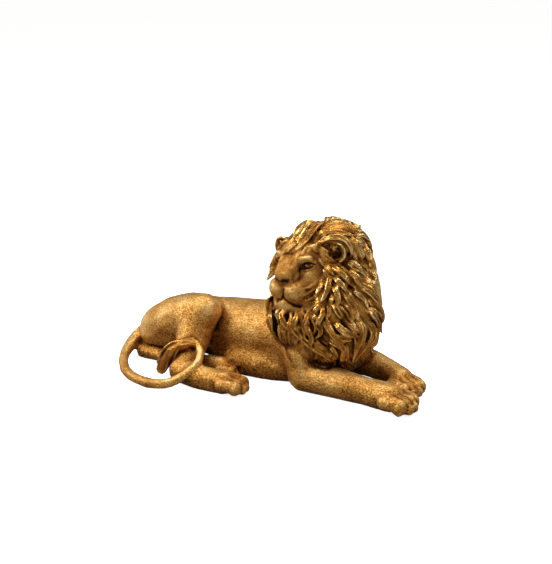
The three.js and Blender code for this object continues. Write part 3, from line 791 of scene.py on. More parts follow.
    def grow(self, bundle: Bundle, surface: Surface) -> int:
        """Lays every lock of the mane.

        Args:
            bundle: The bundle that the locks join.
            surface: The body that they lie on.

        Returns:
            How many locks there are.
        """
        main_locks = [*self.seen(surface), *self.strays()]
        taken = np.vstack([path for path, *_ in main_locks])
        rest = []
        for lock in self.rows():
            gap = np.linalg.norm(lock[0][:, None] - taken[None], axis=2).min(axis=1)
            if gap.mean() > self.clearance:
                rest.append(lock)
        every = [*main_locks, *rest, *self.face_side(surface)]
        for path, faces, radii, seed in every:
            self.lock.lay(bundle, path, faces, radii, seed)
        return len(every)


def sided(rows: tuple, side: int) -> list[Station]:
    """Puts stations that are given for the left on either side of the head."""
    return [(ahead, side * left, up, radius) for ahead, left, up, radius in rows]


@dataclass(frozen=True)
class Face:
    """The eyes, brows, nose, muzzle and ears, as rods and cuts in the head's frame.

    Where there are two of a form, the left one is given. A cut has its stations, its depth and its tint.
    Most tints above 0 darken a cut as painted shade in its furrow, but the brown nose is own colour. Below
    0
    a tint pales the place: painted highlights on the brow, under the eye and in the eye, and the own paler
    colour of the chin and muzzle.
    """

    head: Head = Head()
    ears: tuple = ((0.4, -9.2, 2.5), (0.6, 10.9, 4.0))
    ear_width: float = 2.7
    ear_height: float = 2.75
    ear_turn: tuple[float, float] = (-2.1, 2.7)
    rim_radius: float = 0.42
    ear_hairs: int = 4
    eyeball: tuple = ((5.5, 4.6, 0.2, 1.35), (6.2, 4.75, 0.25, 1.25))
    upper_lid: tuple = (
        (7.9, 3.1, -0.65, 0.22), (7.75, 3.9, 1.0, 0.34), (7.1, 4.9, 1.6, 0.38), (6.3, 6.0, 1.3, 0.34),
        (5.5, 7.0, 0.7, 0.25),
    )
    lower_lid: tuple = (
        (7.9, 3.1, -0.85, 0.2), (7.35, 4.1, -0.9, 0.24), (6.75, 5.1, -0.9, 0.26), (6.0, 6.1, -0.3, 0.24),
        (5.5, 7.0, 0.5, 0.2),
    )
    nose_side: tuple = ((9.0, 2.4, -1.9, 1.3), (10.2, 2.7, -3.9, 1.2))
    brow: tuple = ((7.4, 3.6, 2.2, 0.7), (6.6, 5.3, 2.4, 0.9), (5.6, 6.6, 1.6, 0.7))
    nostril_wing: tuple = ((12.2, 1.7, -3.0, 0.7), (11.7, 2.6, -3.9, 0.5))
    nose_tip: tuple = ((12.5, -0.9, -3.1, 0.75), (12.5, 0.9, -3.1, 0.75))
    chin: tuple = ((10.2, 0, -12.0, 1.5), (8.8, 0, -12.4, 2.1))
    # The parting, mouth, nostril, nose crease, lid lines, inner corner, folds and temple are darkened as
    # painted shade in their furrows; the pale chin, brown nose and pale muzzle are the face's own colour.
    parting_cut: tuple = (((13.4, 0, -4.9, 0.3), (13.0, 0, -7.0, 0.3), (12.6, 0, -8.9, 0.3)), 0.5, 0.9)
    pale_chin: tuple = (((10.9, -1.0, -11.6, 1.0), (10.9, 1.0, -11.6, 1.0)), 0, -0.5)
    brown_nose: tuple = (((12.3, 0, -2.4, 1.3), (10.2, 0, -0.4, 1.0)), 0, 0.4)
    mouth: tuple = (
        ((12.5, 0, -8.9, 0.25), (12.2, 1.3, -9.8, 0.28), (11.0, 3.0, -10.8, 0.26), (9.4, 4.0, -11.4, 0.22),
         (8.8, 4.3, -11.5, 0.15)), 0.4, 1.1,
    )
    nostril: tuple = (((13.4, 0.4, -4.6, 0.5), (13.2, 1.2, -4.1, 0.9), (12.6, 2.3, -3.5, 0.7)), 0.8, 1.5)
    nose_crease: tuple = (((7.9, 3.0, -0.8, 0.3), (8.9, 2.9, -2.2, 0.35), (9.8, 2.9, -3.6, 0.25)), 0.2, 0.4)
    upper_lid_line: tuple = (
        ((7.9, 3.2, -0.4, 0.25), (7.7, 3.9, 0.65, 0.26), (7.1, 4.9, 1.15, 0.28), (6.4, 6.0, 1.0, 0.26),
         (5.7, 7.0, 0.65, 0.2)), 0.3, 1.5,
    )
    lower_lid_line: tuple = (
        ((7.9, 3.2, -0.6, 0.25), (7.4, 4.2, -0.55, 0.24), (6.8, 5.2, -0.45, 0.24), (6.1, 6.2, 0.0, 0.2)),
        0.2, 1.0,
    )
    iris: tuple = (((7.5, 3.9, 0.1, 0.4), (7.2, 4.7, 0.35, 0.45), (6.9, 5.5, 0.4, 0.35)), 0.05, 0.9)
    # a painted highlight in the eye
    painted_glint: tuple = (((7.35, 4.5, 0.45, 0.2), (7.3, 4.7, 0.45, 0.2)), -0.1, -2.4)
    inner_corner: tuple = (((8.1, 2.9, -0.9, 0.35), (8.6, 2.7, -1.7, 0.25)), 0.3, 1.2)
    # painted highlights on the brow and under the eye
    painted_brow_highlight: tuple = (((8.0, 3.6, 2.2, 0.5), (7.2, 5.4, 2.7, 0.6), (6.0, 6.8, 1.8, 0.5)), -0.15, -0.35)
    painted_socket_highlight: tuple = (((7.9, 3.9, -2.0, 0.6), (7.0, 5.6, -1.9, 0.7)), -0.1, -0.4)
    pale_muzzle: tuple = (((12.2, 2.4, -6.0, 1.2), (11.2, 3.9, -7.2, 1.2)), 0, -0.5)
    cheek_fold: tuple = (((10.7, 3.4, -3.3, 0.6), (9.3, 5.6, -5.2, 0.8), (7.2, 6.8, -8.4, 0.8)), 0.15, 0.1)
    forehead_fold: tuple = (((10.2, 1.8, 1.0, 0.7), (9.0, 1.2, 3.6, 0.8), (6.6, 1.0, 6.2, 0.6)), 0.25, 0.2)
    temple: tuple = (((6.4, 7.2, 1.9, 0.5), (5.2, 7.9, 4.2, 0.8), (4.2, 7.4, 6.2, 0.6)), 0.5, 0.5)
    whisker_rows: int = 4
    whisker_places: int = 5
    whisker_radius: float = 0.18
    whisker_cut: tuple[float, float] = (0.2, 0.35)
    # the ear hollow's depth and its painted shade
    ear_cut: tuple[float, float] = (0.6, 1.0)

    def model(self, bundle: Bundle) -> None:
        """Adds the raised forms of the face.

        Args:
            bundle: The bundle that they join.
        """
        pairs = (self.eyeball, self.upper_lid, self.lower_lid, self.nose_side, self.brow, self.nostril_wing)
        for side in SIDES:
            for rows in pairs:
                bundle.limb(self.head.stations(sided(rows, side)))
        for rows in (self.nose_tip, self.chin):
            bundle.limb(self.head.stations(rows))

    def ear_rims(self, bundle: Bundle) -> None:
        """Adds the thin rims of the ears and the hair inside them.

        Args:
            bundle: The bundle that they join.
        """
        for side, (ahead, left, up) in zip(SIDES, self.ears):
            ring: list[Station] = []
            for turn in np.linspace(*self.ear_turn, 11):
                ring.append((
                    ahead + 0.5 - 0.35 * abs(math.sin(turn)), left + side * self.ear_width * math.sin(turn),
                    up + self.ear_height * math.cos(turn), self.rim_radius,
                ))
            bundle.limb(self.head.stations(ring))
            for k in range(self.ear_hairs):
                foot = (ahead + 0.4, left - side * 1.7, up - 1.5 + 0.7 * k, 0.32)
                bow = (ahead + 1.3, left - side * 0.5, up - 0.8 + 0.75 * k, 0.34)
                tip = (ahead + 0.9, left + side * 0.7, up + 0.1 + 0.6 * k, 0.12)
                bundle.limb(self.head.stations([foot, bow, tip]))

    def whiskers(self) -> Iterator[list[Station]]:
        """Places the dots of the left side of the muzzle, row by row.

        Yields:
            The stations of each dot.
        """
        for row in range(self.whisker_rows):
            for k in range(self.whisker_places):
                ahead = 12.0 - 0.85 * k - 0.1 * row
                left = 2.3 + 0.75 * k + 0.2 * row
                up = -5.5 - 0.95 * row - 0.12 * k
                radius = self.whisker_radius
                yield [(ahead, left, up, radius), (ahead - 0.1, left + 0.1, up, radius)]

    def cuts(self) -> list[Line]:
        """Lists what is cut into the face and painted: mostly painted shade in the cuts, painted highlights
        on the brow, under the eye and in the eye, and the face's own pale and brown marks.

        Returns:
            Lines in the figure with their radii, how deep each goes and how dark it is.
        """
        pairs = (
            self.mouth, self.nostril, self.nose_crease, self.upper_lid_line, self.lower_lid_line, self.iris,
            self.painted_glint, self.inner_corner, self.painted_brow_highlight, self.painted_socket_highlight, self.pale_muzzle,
            self.cheek_fold, self.forehead_fold, self.temple,
        )
        lines: list[Line] = [self.parting_cut, self.pale_chin, self.brown_nose]
        for side in SIDES:
            lines += [(sided(rows, side), depth, tint) for rows, depth, tint in pairs]
            lines += [(sided(dot, side), *self.whisker_cut) for dot in self.whiskers()]
        for side, (ahead, left, up) in zip(SIDES, self.ears):
            bottom = (ahead + 0.2, left - side * 0.3, up - 0.5, 1.0)
            top = (ahead + 0.2, left + side * 0.5, up, 1.0)
            lines.append(([bottom, top], *self.ear_cut))
        return [(self.head.stations(rows), depth, tint) for rows, depth, tint in lines]


@dataclass(frozen=True)
class Paws:
    """The toes and claws at the end of each foot.

    A foot has its ball, its heading in degrees and its size. A furrow's station is how far it is ahead, how
    far up, and its radius.
    """

    feet: tuple = (
        ((41.2, -12.6, 0), -8, 1.15), ((37.6, 1.2, 0), -24, 1.08),
        ((-6.4, -24.2, 0), 8, 1.02), ((-15, -12.4, 0), 6, 0.85),
    )
    reaches: tuple = (4.0, 5.3, 5.3, 4.0)
    spread: float = 2.1
    toe_radius: float = 1.15
    knuckle: tuple[float, float] = (4.0, 2.5)
    knuckle_radius: float = 2.0
    furrow: tuple = ((1.8, 4.9, 0.3), (3.4, 4.5, 0.4), (5.0, 3.2, 0.45), (5.8, 1.2, 0.45))
    furrow_depth: float = 0.12
    # painted shade darkening the furrows between the toes
    furrow_painted_shade: float = 0.15

    def model(self, bundle: Bundle) -> None:
        """Adds the toes and claws.

        Args:
            bundle: The bundle that they join.
        """
        for ball, heading, size in self.feet:
            toes = [self.toe(ball, heading, size, i) for i in range(len(self.reaches))]
            bundle.limb([(*at(*self.knuckle), self.knuckle_radius * size) for at in toes])
            for at, reach in zip(toes, self.reaches):
                bundle.limb([(*at(reach - 2.4, 3.2), self.toe_radius * size * 0.9),
                             (*at(reach - 0.8, 3.0), self.toe_radius * size),
                             (*at(reach, 2.0), self.toe_radius * size)])
                bundle.limb([(*at(reach + 0.5, 2.0), 0.3 * size), (*at(reach + 1.0, 1.5), 0.24 * size),
                             (*at(reach + 1.1, 0.9), 0.14 * size)])

    def toe(self, ball: Array, heading: float, size: float, i: float) -> Callable[[float, float], Array]:
        """Finds one toe.

        Args:
            ball: The middle of the foot's front, on the floor.
            heading: Where the foot points, in degrees from +X.
            size: The foot's size.
            i: Which toe, from 0, or the gap after it where it is a half more.

        Returns:
            A function that places a point of the toe from how far it is ahead and up.
        """
        turn = math.radians(heading)
        ahead = np.array([math.cos(turn), math.sin(turn), 0])
        across = np.array([-math.sin(turn), math.cos(turn), 0])
        middle = (len(self.reaches) - 1) / 2
        base = np.array(ball, float) + across * (i - middle) * self.spread * size
        return lambda forward, up: base + ahead * forward * size + np.array([0, 0, up * size])

    def cuts(self) -> list[Line]:
        """Lists the cuts between the toes.

        Returns:
            Lines in the figure with their radii, how deep each goes and how dark it is.
        """
        lines: list[Line] = []
        for ball, heading, size in self.feet:
            for i in range(len(self.reaches) - 1):
                at = self.toe(ball, heading, size, i + 0.5)
                rows = [(*at(forward, up), radius) for forward, up, radius in self.furrow]
                lines.append((rows, self.furrow_depth * size, self.furrow_painted_shade))
        return lines


@dataclass(frozen=True)
class Tail:
    """The strands of the tail's tuft, which start at the top of the ring and fall to a point."""

    path: tuple = ((-19.6, -20.4, 11.8, 1.1), (-23.1, -21.4, 11, 1.8), (-26, -22.4, 8.8, 2.1),
                   (-28.4, -23, 5.4, 2.0), (-30, -23.2, 2.4, 1.5), (-30.8, -23.2, 1.2, 0.6))
    lock: Lock = Lock(spacing=0.62, most=7, flatness=0.8, body=0.85, wave=0.35)
    facing: tuple = (0.3, -0.75, 0.6)
    seed: int = 77

    def model(self, bundle: Bundle) -> None:
        """Adds the strands of the tuft.

        Args:
            bundle: The bundle that they join.
        """
        run = curve_through(np.array(self.path), np.linspace(0, 1, 10))
        out = np.tile(self.facing, (len(run), 1))
        self.lock.lay(bundle, run[:, :3], unit(out), run[:, 3], self.seed)


class Skin:
    """The vertices of a dense mesh as arrays, to be smoothed, cut and read."""

    shrink: float = 0.55
    swell: float = 0.57
    fur_seed: int = 7
    fur_waves: int = 40
    fur_stretch: tuple = (0.42, 1.0, 0.8)
    fur_pace: tuple[float, float] = (1100, 1900)

    def __init__(self, obj: bpy.types.Object) -> None:
        """Reads the mesh of an object.

        Args:
            obj: The object.
        """
        self.obj = obj
        mesh = obj.data
        self.points = np.zeros(len(mesh.vertices) * 3)
        mesh.vertices.foreach_get("co", self.points)
        self.points = self.points.reshape(-1, 3)
        ends = np.zeros(len(mesh.edges) * 2, dtype=np.int32)
        mesh.edges.foreach_get("vertices", ends)
        ends = ends.reshape(-1, 2)
        self.start = np.concatenate([ends[:, 0], ends[:, 1]])
        self.end = np.concatenate([ends[:, 1], ends[:, 0]])
        self.count = np.maximum(np.bincount(self.start, minlength=len(self.points)), 1)
        # the tints of the cuts: mostly painted shade and painted highlights, some own colour
        self.stain = np.zeros(len(self.points))

    def around(self, values: Array) -> Array:
        """Averages values over each vertex's neighbours.

        Args:
            values: One number or row for each vertex.

        Returns:
            The averages.
        """
        flat = values.reshape(len(values), -1)
        sums = [np.bincount(self.start, weights=flat[self.end, k], minlength=len(values))
                for k in range(flat.shape[1])]
        return (np.stack(sums, axis=1) / self.count[:, None]).reshape(values.shape)

    def smooth(self, rounds: int, weight: Array | float) -> None:
        """Smooths the surface without shrinking it.

        Args:
            rounds: How many times it is smoothed.
            weight: How strongly, for the whole or for each vertex.
        """
        weight = np.asarray(weight, float)
        if weight.ndim:
            weight = weight[:, None]
        for _ in range(rounds):
            self.points += (self.around(self.points) - self.points) * self.shrink * weight
            self.points -= (self.around(self.points) - self.points) * self.swell * weight

    def normals(self) -> Array:
        """Gives each vertex's normal.

        Returns:
            One row for each vertex.
        """
        self.write()
        found = np.zeros(len(self.points) * 3)
        self.obj.data.vertices.foreach_get("normal", found)
        return found.reshape(-1, 3)

    def cut(self, lines: list[Line]) -> None:
        """Cuts furrows along lines that are laid on the skin, and darkens or pales them: mostly painted
        shade in the furrows, some painted highlights, and some of the face's own colour.

        Args:
            lines: Each line's stations with their radii, its depth in hundredths of the body, and how
                dark it is.
        """
        normals = self.normals()
        for stations, depth, tint in lines:
            rows = np.array(stations, float)
            shares = np.linspace(0, 1, len(rows) * 5)
            path = placed(curve_through(rows[:, :3], shares))
            radii = curve_through(rows[:, 3:], shares)[:, 0] * UNIT
            reach = radii.max() * 2.4 + UNIT
            near = np.all((self.points > path.min(0) - reach) & (self.points < path.max(0) + reach), axis=1)
            index = np.flatnonzero(near)
            if not len(index):
                continue
            gap = np.linalg.norm(self.points[index, None, :] - path[None], axis=2)
            path = self.points[index[gap.argmin(axis=0)]]
            gap = np.linalg.norm(self.points[index, None, :] - path[None], axis=2) / radii[None]
            share = np.exp(-(gap.min(axis=1) ** 2) * 0.9)
            # the cut's tint: mostly painted shade in the furrow, and a painted highlight where it is below
            # 0
            self.stain[index] += share * tint
            self.points[index] -= normals[index] * (share * depth * UNIT)[:, None]

    def ruffle(self, depth: Array) -> None:
        """Raises and sinks the surface in short strokes, as fur that is cut into it.

        Args:
            depth: Metres, for each vertex.
        """
        chance = np.random.default_rng(self.fur_seed)
        way = unit(chance.normal(size=(self.fur_waves, 3)) * np.array(self.fur_stretch))
        pace = chance.uniform(*self.fur_pace, self.fur_waves)
        height = np.zeros(len(self.points))
        for k in range(self.fur_waves):
            height += np.sin(self.points @ (way[k] * pace[k]) + chance.uniform(0, 6.3))
        self.points += self.normals() * (height / math.sqrt(self.fur_waves) * depth)[:, None]

    def hollows(self, near: int, wide: int) -> Array:
        """Measures how far each place lies in a hollow.

        Args:
            near: Rounds of averaging before it is compared.
            wide: Rounds of averaging of what it is compared with.

        Returns:
            Metres below its surroundings, or above them where negative.
        """
        normals = self.normals()
        fine = self.points.copy()
        for _ in range(near):
            fine = self.around(fine)
        broad = fine.copy()
        for _ in range(wide):
            broad = self.around(broad)
        return ((broad - fine) * normals).sum(axis=1)

    def comb(self, bundle: Bundle) -> tuple[Array, Array]:
        """Finds where each place lies on the strand nearest to it.

        Args:
            bundle: The strands.

        Returns:
            For each vertex, how far it is across its strand, how far along it and the strand's number,
            in hundredths of the body, and how far it is from the middle of the strand.
        """
        guides = np.vstack(bundle.guides)
        tree = KDTree(len(guides))
        for i, row in enumerate(guides):
            tree.insert(row[:3], i)
        tree.balance()
        u = measured(self.points)
        near = guides[[tree.find(place)[1] for place in u]]
        gap = u - near[:, :3]
        across = (gap * near[:, 3:6]).sum(axis=1)
        along = near[:, 9] + (gap * near[:, 6:9]).sum(axis=1)
        return np.stack([across, along, near[:, 10]], axis=1), np.linalg.norm(gap, axis=1)

    def write(self) -> None:
        """Puts the points back into the mesh."""
        self.obj.data.vertices.foreach_set("co", self.points.ravel())
        self.obj.data.update()


@dataclass(frozen=True)
class Casting:
    """The whole statue as one casting: how finely it is modelled, and how it is put together."""

    first_cell: float = 0.0024
    fine_cell: float = 0.0012
    rounds: int = 20
    fur_depth: float = 0.00012
    most_triangles: int = 194000
    floor_band: float = 0.004
    ear_care: tuple[float, float] = (3.6, 5.0)
    # the folds' depth and the painted shade in them
    crease_cut: tuple[float, float] = (0.4, 0.16)
    hollow_depth: float = 0.0006
    deep_depth: float = 0.0022
    mask_limit: float = 1.5
    fur_seed: int = 700
    face_fur: Lock = Lock(spacing=0.45, most=2, flatness=0.3, body=0.5, strand=0.5)
    head: Head = Head()

    def remeshed(self, obj: bpy.types.Object, cell: float) -> None:
        """Joins overlapping forms into one closed skin of even cells.

        Args:
            obj: The object whose mesh is replaced.
            cell: The size of a cell, in metres.
        """
        remesh = obj.modifiers.new("skin", "REMESH")
        remesh.mode = "VOXEL"
        remesh.voxel_size = cell
        remesh.use_smooth_shade = True
        self.applied(obj)

    def applied(self, obj: bpy.types.Object) -> None:
        """Makes the object's modifiers part of its mesh.

        Args:
            obj: The object.
        """
        graph = bpy.context.evaluated_depsgraph_get()
        mesh = bpy.data.meshes.new_from_object(obj.evaluated_get(graph))
        old = obj.data
        obj.modifiers.clear()
        obj.data = mesh
        bpy.data.meshes.remove(old)

    def blank(self) -> bpy.types.Object:
        """Copies the node's solid and rounds off its facets.

        Returns:
            The object that everything else is added to.
        """
        bm = bmesh.new()
        bm.from_mesh(frame["nodes"][NODE].data)
        bmesh.ops.remove_doubles(bm, verts=bm.verts, dist=1e-6)
        mesh = bpy.data.meshes.new("casting")
        bm.to_mesh(mesh)
        bm.free()
        obj = bpy.data.objects.new("lion_casting", mesh)
        bpy.context.scene.collection.objects.link(obj)
        self.remeshed(obj, self.first_cell)
        skin = Skin(obj)
        u = measured(skin.points)
        care = self.face_share(u)
        for ear in Face().ears:
            gap = np.linalg.norm(u - self.head.at(ear), axis=1)
            care = np.maximum(care, 1 - smoothstep(gap, *self.ear_care))
        floor = skin.points[:, 2] < self.floor_band
        level = skin.points[floor, 2].copy()
        skin.smooth(self.rounds, 1 - 0.6 * care)
        skin.points[floor, 2] = np.minimum(skin.points[floor, 2], level)
        skin.write()
        return obj

    def face_share(self, u: Array) -> Array:
        """Says how much each place belongs to the face.

        Args:
            u: Places in hundredths of the body.

        Returns:
            1 on the face and 0 away from it.
        """
        ahead, left, up = self.head.read(u).T
        face = smoothstep(ahead, 1.0, 4.0) * (1 - smoothstep(np.abs(left), 6.8, 8.6))
        return face * smoothstep(up, -14.5, -12.5) * (1 - smoothstep(up, 4.5, 7.0))

    def hair_share(self, u: Array) -> Array:
        """Says how much each place belongs to the mane.

        Args:
            u: Places in hundredths of the body.

        Returns:
            1 on the mane and 0 away from it.
        """
        centres = np.array([centre for centre, _ in Mane().masses])
        radii = np.array([radii for _, radii in Mane().masses])
        share = np.linalg.norm((u[:, None] - centres) / radii, axis=2).min(axis=1)
        run = curve_through(np.array(Tail().path)[:, :3], np.linspace(0, 1, 12))
        tuft = np.linalg.norm(u[:, None] - run, axis=2).min(axis=1)
        hair = np.maximum(1 - smoothstep(share, 1.1, 1.22), 1 - smoothstep(tuft, 2.4, 3.0))
        high = smoothstep(u[:, 2], 30, 33)
        return np.maximum(hair, high) * (1 - self.face_share(u))

    def joined(self, obj: bpy.types.Object, bundles: list[Bundle]) -> None:
        """Joins the bundles to the casting.

        Args:
            obj: The casting.
            bundles: What is joined to it.
        """
        parts = [o for bundle in bundles for o in bundle.objects]
        for each in bpy.context.selected_objects:
            each.select_set(False)
        for part in [*parts, obj]:
            part.select_set(True)
        bpy.context.view_layer.objects.active = obj
        bpy.ops.object.join()

    def levelled(self, skin: Skin) -> None:
        """Cuts the underside flat in the plane of the floor."""
        skin.points[:, 2] = np.maximum(skin.points[:, 2], 0.0)
        skin.write()

    def build(self) -> bpy.types.Object:
        """Builds the statue's mesh with its masks.

        Returns:
            The finished object.
        """
        obj = self.blank()
        surface = Surface(obj, View())
        hair = Bundle(Rod(sides=8, rings=11))
        log.info("mane: %d locks", Mane().grow(hair, surface))
        for k, (width, *dots) in enumerate(FACE_FUR):
            path, faces = surface.traced(curve_through(np.array(dots), np.linspace(0, 1, 7)))
            radii = width * surface.view.pixel() / 2 * self.face_fur.full(len(path))
            self.face_fur.lay(hair, path, faces, radii, self.fur_seed + k)
        Tail().model(hair)
        forms = Bundle(Rod(sides=18, rings=14))
        Face().model(forms)
        Face().ear_rims(forms)
        Paws().model(forms)
        self.joined(obj, [hair, forms])
        self.remeshed(obj, self.fine_cell)
        skin = Skin(obj)
        u = measured(skin.points)
        strand, gap = skin.comb(hair)
        face = self.face_share(u)
        mane = np.maximum(self.hair_share(u), (1 - smoothstep(gap, 1.0, 1.9)) * (1 - face))
        skin.smooth(1, 0.5)
        skin.smooth(4, face * 0.6)
        skin.ruffle(self.fur_depth * (1 - mane) * (1 - face))
        skin.cut([*Face().cuts(), *Paws().cuts(), *self.creases(surface)])
        self.levelled(skin)
        self.masked(skin, mane, face)
        layer = obj.data.attributes.new("strand", "FLOAT_VECTOR", "POINT")
        layer.data.foreach_set("vector", strand.astype(np.float32).ravel())
        thin = obj.modifiers.new("thin", "DECIMATE")
        triangles = sum(len(polygon.vertices) - 2 for polygon in obj.data.polygons)
        thin.ratio = min(1.0, self.most_triangles / triangles)
        self.applied(obj)
        for polygon in obj.data.polygons:
            polygon.use_smooth = True
        log.info("casting: %d faces", len(obj.data.polygons))
        return obj

    def creases(self, surface: Surface) -> list[Line]:
        """Lays the folds of the skin on the body.

        Args:
            surface: The body.

        Returns:
            Lines to cut, each with its depth and its tint.
        """
        lines: list[Line] = []
        for radius, *dots in CREASES:
            path, _ = surface.traced(curve_through(np.array(dots), np.linspace(0, 1, 12)))
            lines.append(([(*place, radius) for place in path], *self.crease_cut))
        return lines

    def masked(self, skin: Skin, mane: Array, face: Array) -> None:
        """Keeps what the finish needs to know of each place.

        Args:
            skin: The casting's skin, with the painted shade, painted highlights and own colour of its cuts.
            mane: How much each place belongs to the mane.
            face: How much each place belongs to the face.
        """
        masks = {
            "hollow": skin.hollows(1, 6) / self.hollow_depth,
            "deep": skin.hollows(6, 40) / self.deep_depth,
            "hair": mane,
            "face": face,
            # the cuts' painted shade and painted highlights, with the face's own pale and brown marks
            "stain": skin.stain,
            # painted light and shade: up-facing places paler, down-facing ones darker
            "top": skin.normals()[:, 2] * (1 - mane) * (1 - face),
            # painted shade: darker towards the floor, and over the lower mane
            "low": np.maximum(1 - smoothstep(skin.points[:, 2], 0.004, 0.045),
                              mane * (1 - smoothstep(skin.points[:, 2], 0.05, 0.20))),
        }
        for name, values in masks.items():
            layer = skin.obj.data.attributes.new(name, "FLOAT", "POINT")
            values = np.clip(values, -self.mask_limit, self.mask_limit)
            layer.data.foreach_set("value", values.astype(np.float32))


class Signal:
    """A value that varies over a surface, on which arithmetic adds Math nodes."""

    def __init__(self, bench: "Bench", socket: bpy.types.NodeSocket) -> None:
        """Wraps the socket that gives the value."""
        self.bench = bench
        self.socket = socket

    def _math(self, operation: str, first: "Signal | float", second: "Signal | float") -> "Signal":
        """Adds one Math node and returns what it gives."""
        return self.bench.node("ShaderNodeMath", {"operation": operation}, {0: first, 1: second})

    def __add__(self, other: "Signal | float") -> "Signal":
        """Adds."""
        return self._math("ADD", self, other)

    __radd__ = __add__

    def __sub__(self, other: "Signal | float") -> "Signal":
        """Takes away."""
        return self._math("SUBTRACT", self, other)

    def __rsub__(self, other: "Signal | float") -> "Signal":
        """Takes this value away from another."""
        return self._math("SUBTRACT", other, self)

    def __mul__(self, other: "Signal | float") -> "Signal":
        """Multiplies."""
        return self._math("MULTIPLY", self, other)

    __rmul__ = __mul__

    def between(self, low: float, high: float) -> "Signal":
        """Gives 0 at low and 1 at high, smoothly."""
        settings = {"interpolation_type": "SMOOTHSTEP"}
        return self.bench.node("ShaderNodeMapRange", settings, {0: self, 1: low, 2: high, 3: 0.0, 4: 1.0})


class Bench:
    """The node tree of a material or of the world, and the one method that adds nodes to it."""

    def __init__(self, owner: bpy.types.Material | bpy.types.World) -> None:
        """Empties a node tree.

        Args:
            owner: Whose tree it is.
        """
        self.owner = owner
        owner.use_nodes = True
        self.tree = owner.node_tree
        self.tree.nodes.clear()

    def node(self, kind: str, settings: dict | None = None, inputs: dict | None = None,
             output: str | int = 0) -> Signal:
        """Adds a node.

        Args:
            kind: The node's type.
            settings: What is set on the node itself, with a ramp's stops as "stops".
            inputs: The value or link of each socket, by name or number.
            output: Which of its sockets is given back.

        Returns:
            The wrapped output.
        """
        made = self.tree.nodes.new(kind)
        for name, value in (settings or {}).items():
            if name == "stops":
                self._stops(made.color_ramp, value)
            else:
                setattr(made, name, value)
        for name, value in (inputs or {}).items():
            if isinstance(value, Signal):
                self.tree.links.new(value.socket, made.inputs[name])
            else:
                made.inputs[name].default_value = value
        return Signal(self, made.outputs[output]) if made.outputs else Signal(self, None)

    def _stops(self, ramp: bpy.types.ColorRamp, stops: list) -> None:
        """Sets the stops of a colour ramp.

        Args:
            ramp: The ramp.
            stops: Each stop's place and colour.
        """
        while len(ramp.elements) > 1:
            ramp.elements.remove(ramp.elements[-1])
        for i, (place, colour) in enumerate(stops):
            stop = ramp.elements[0] if i == 0 else ramp.elements.new(place)
            stop.position = place
            stop.color = (*colour, 1.0)


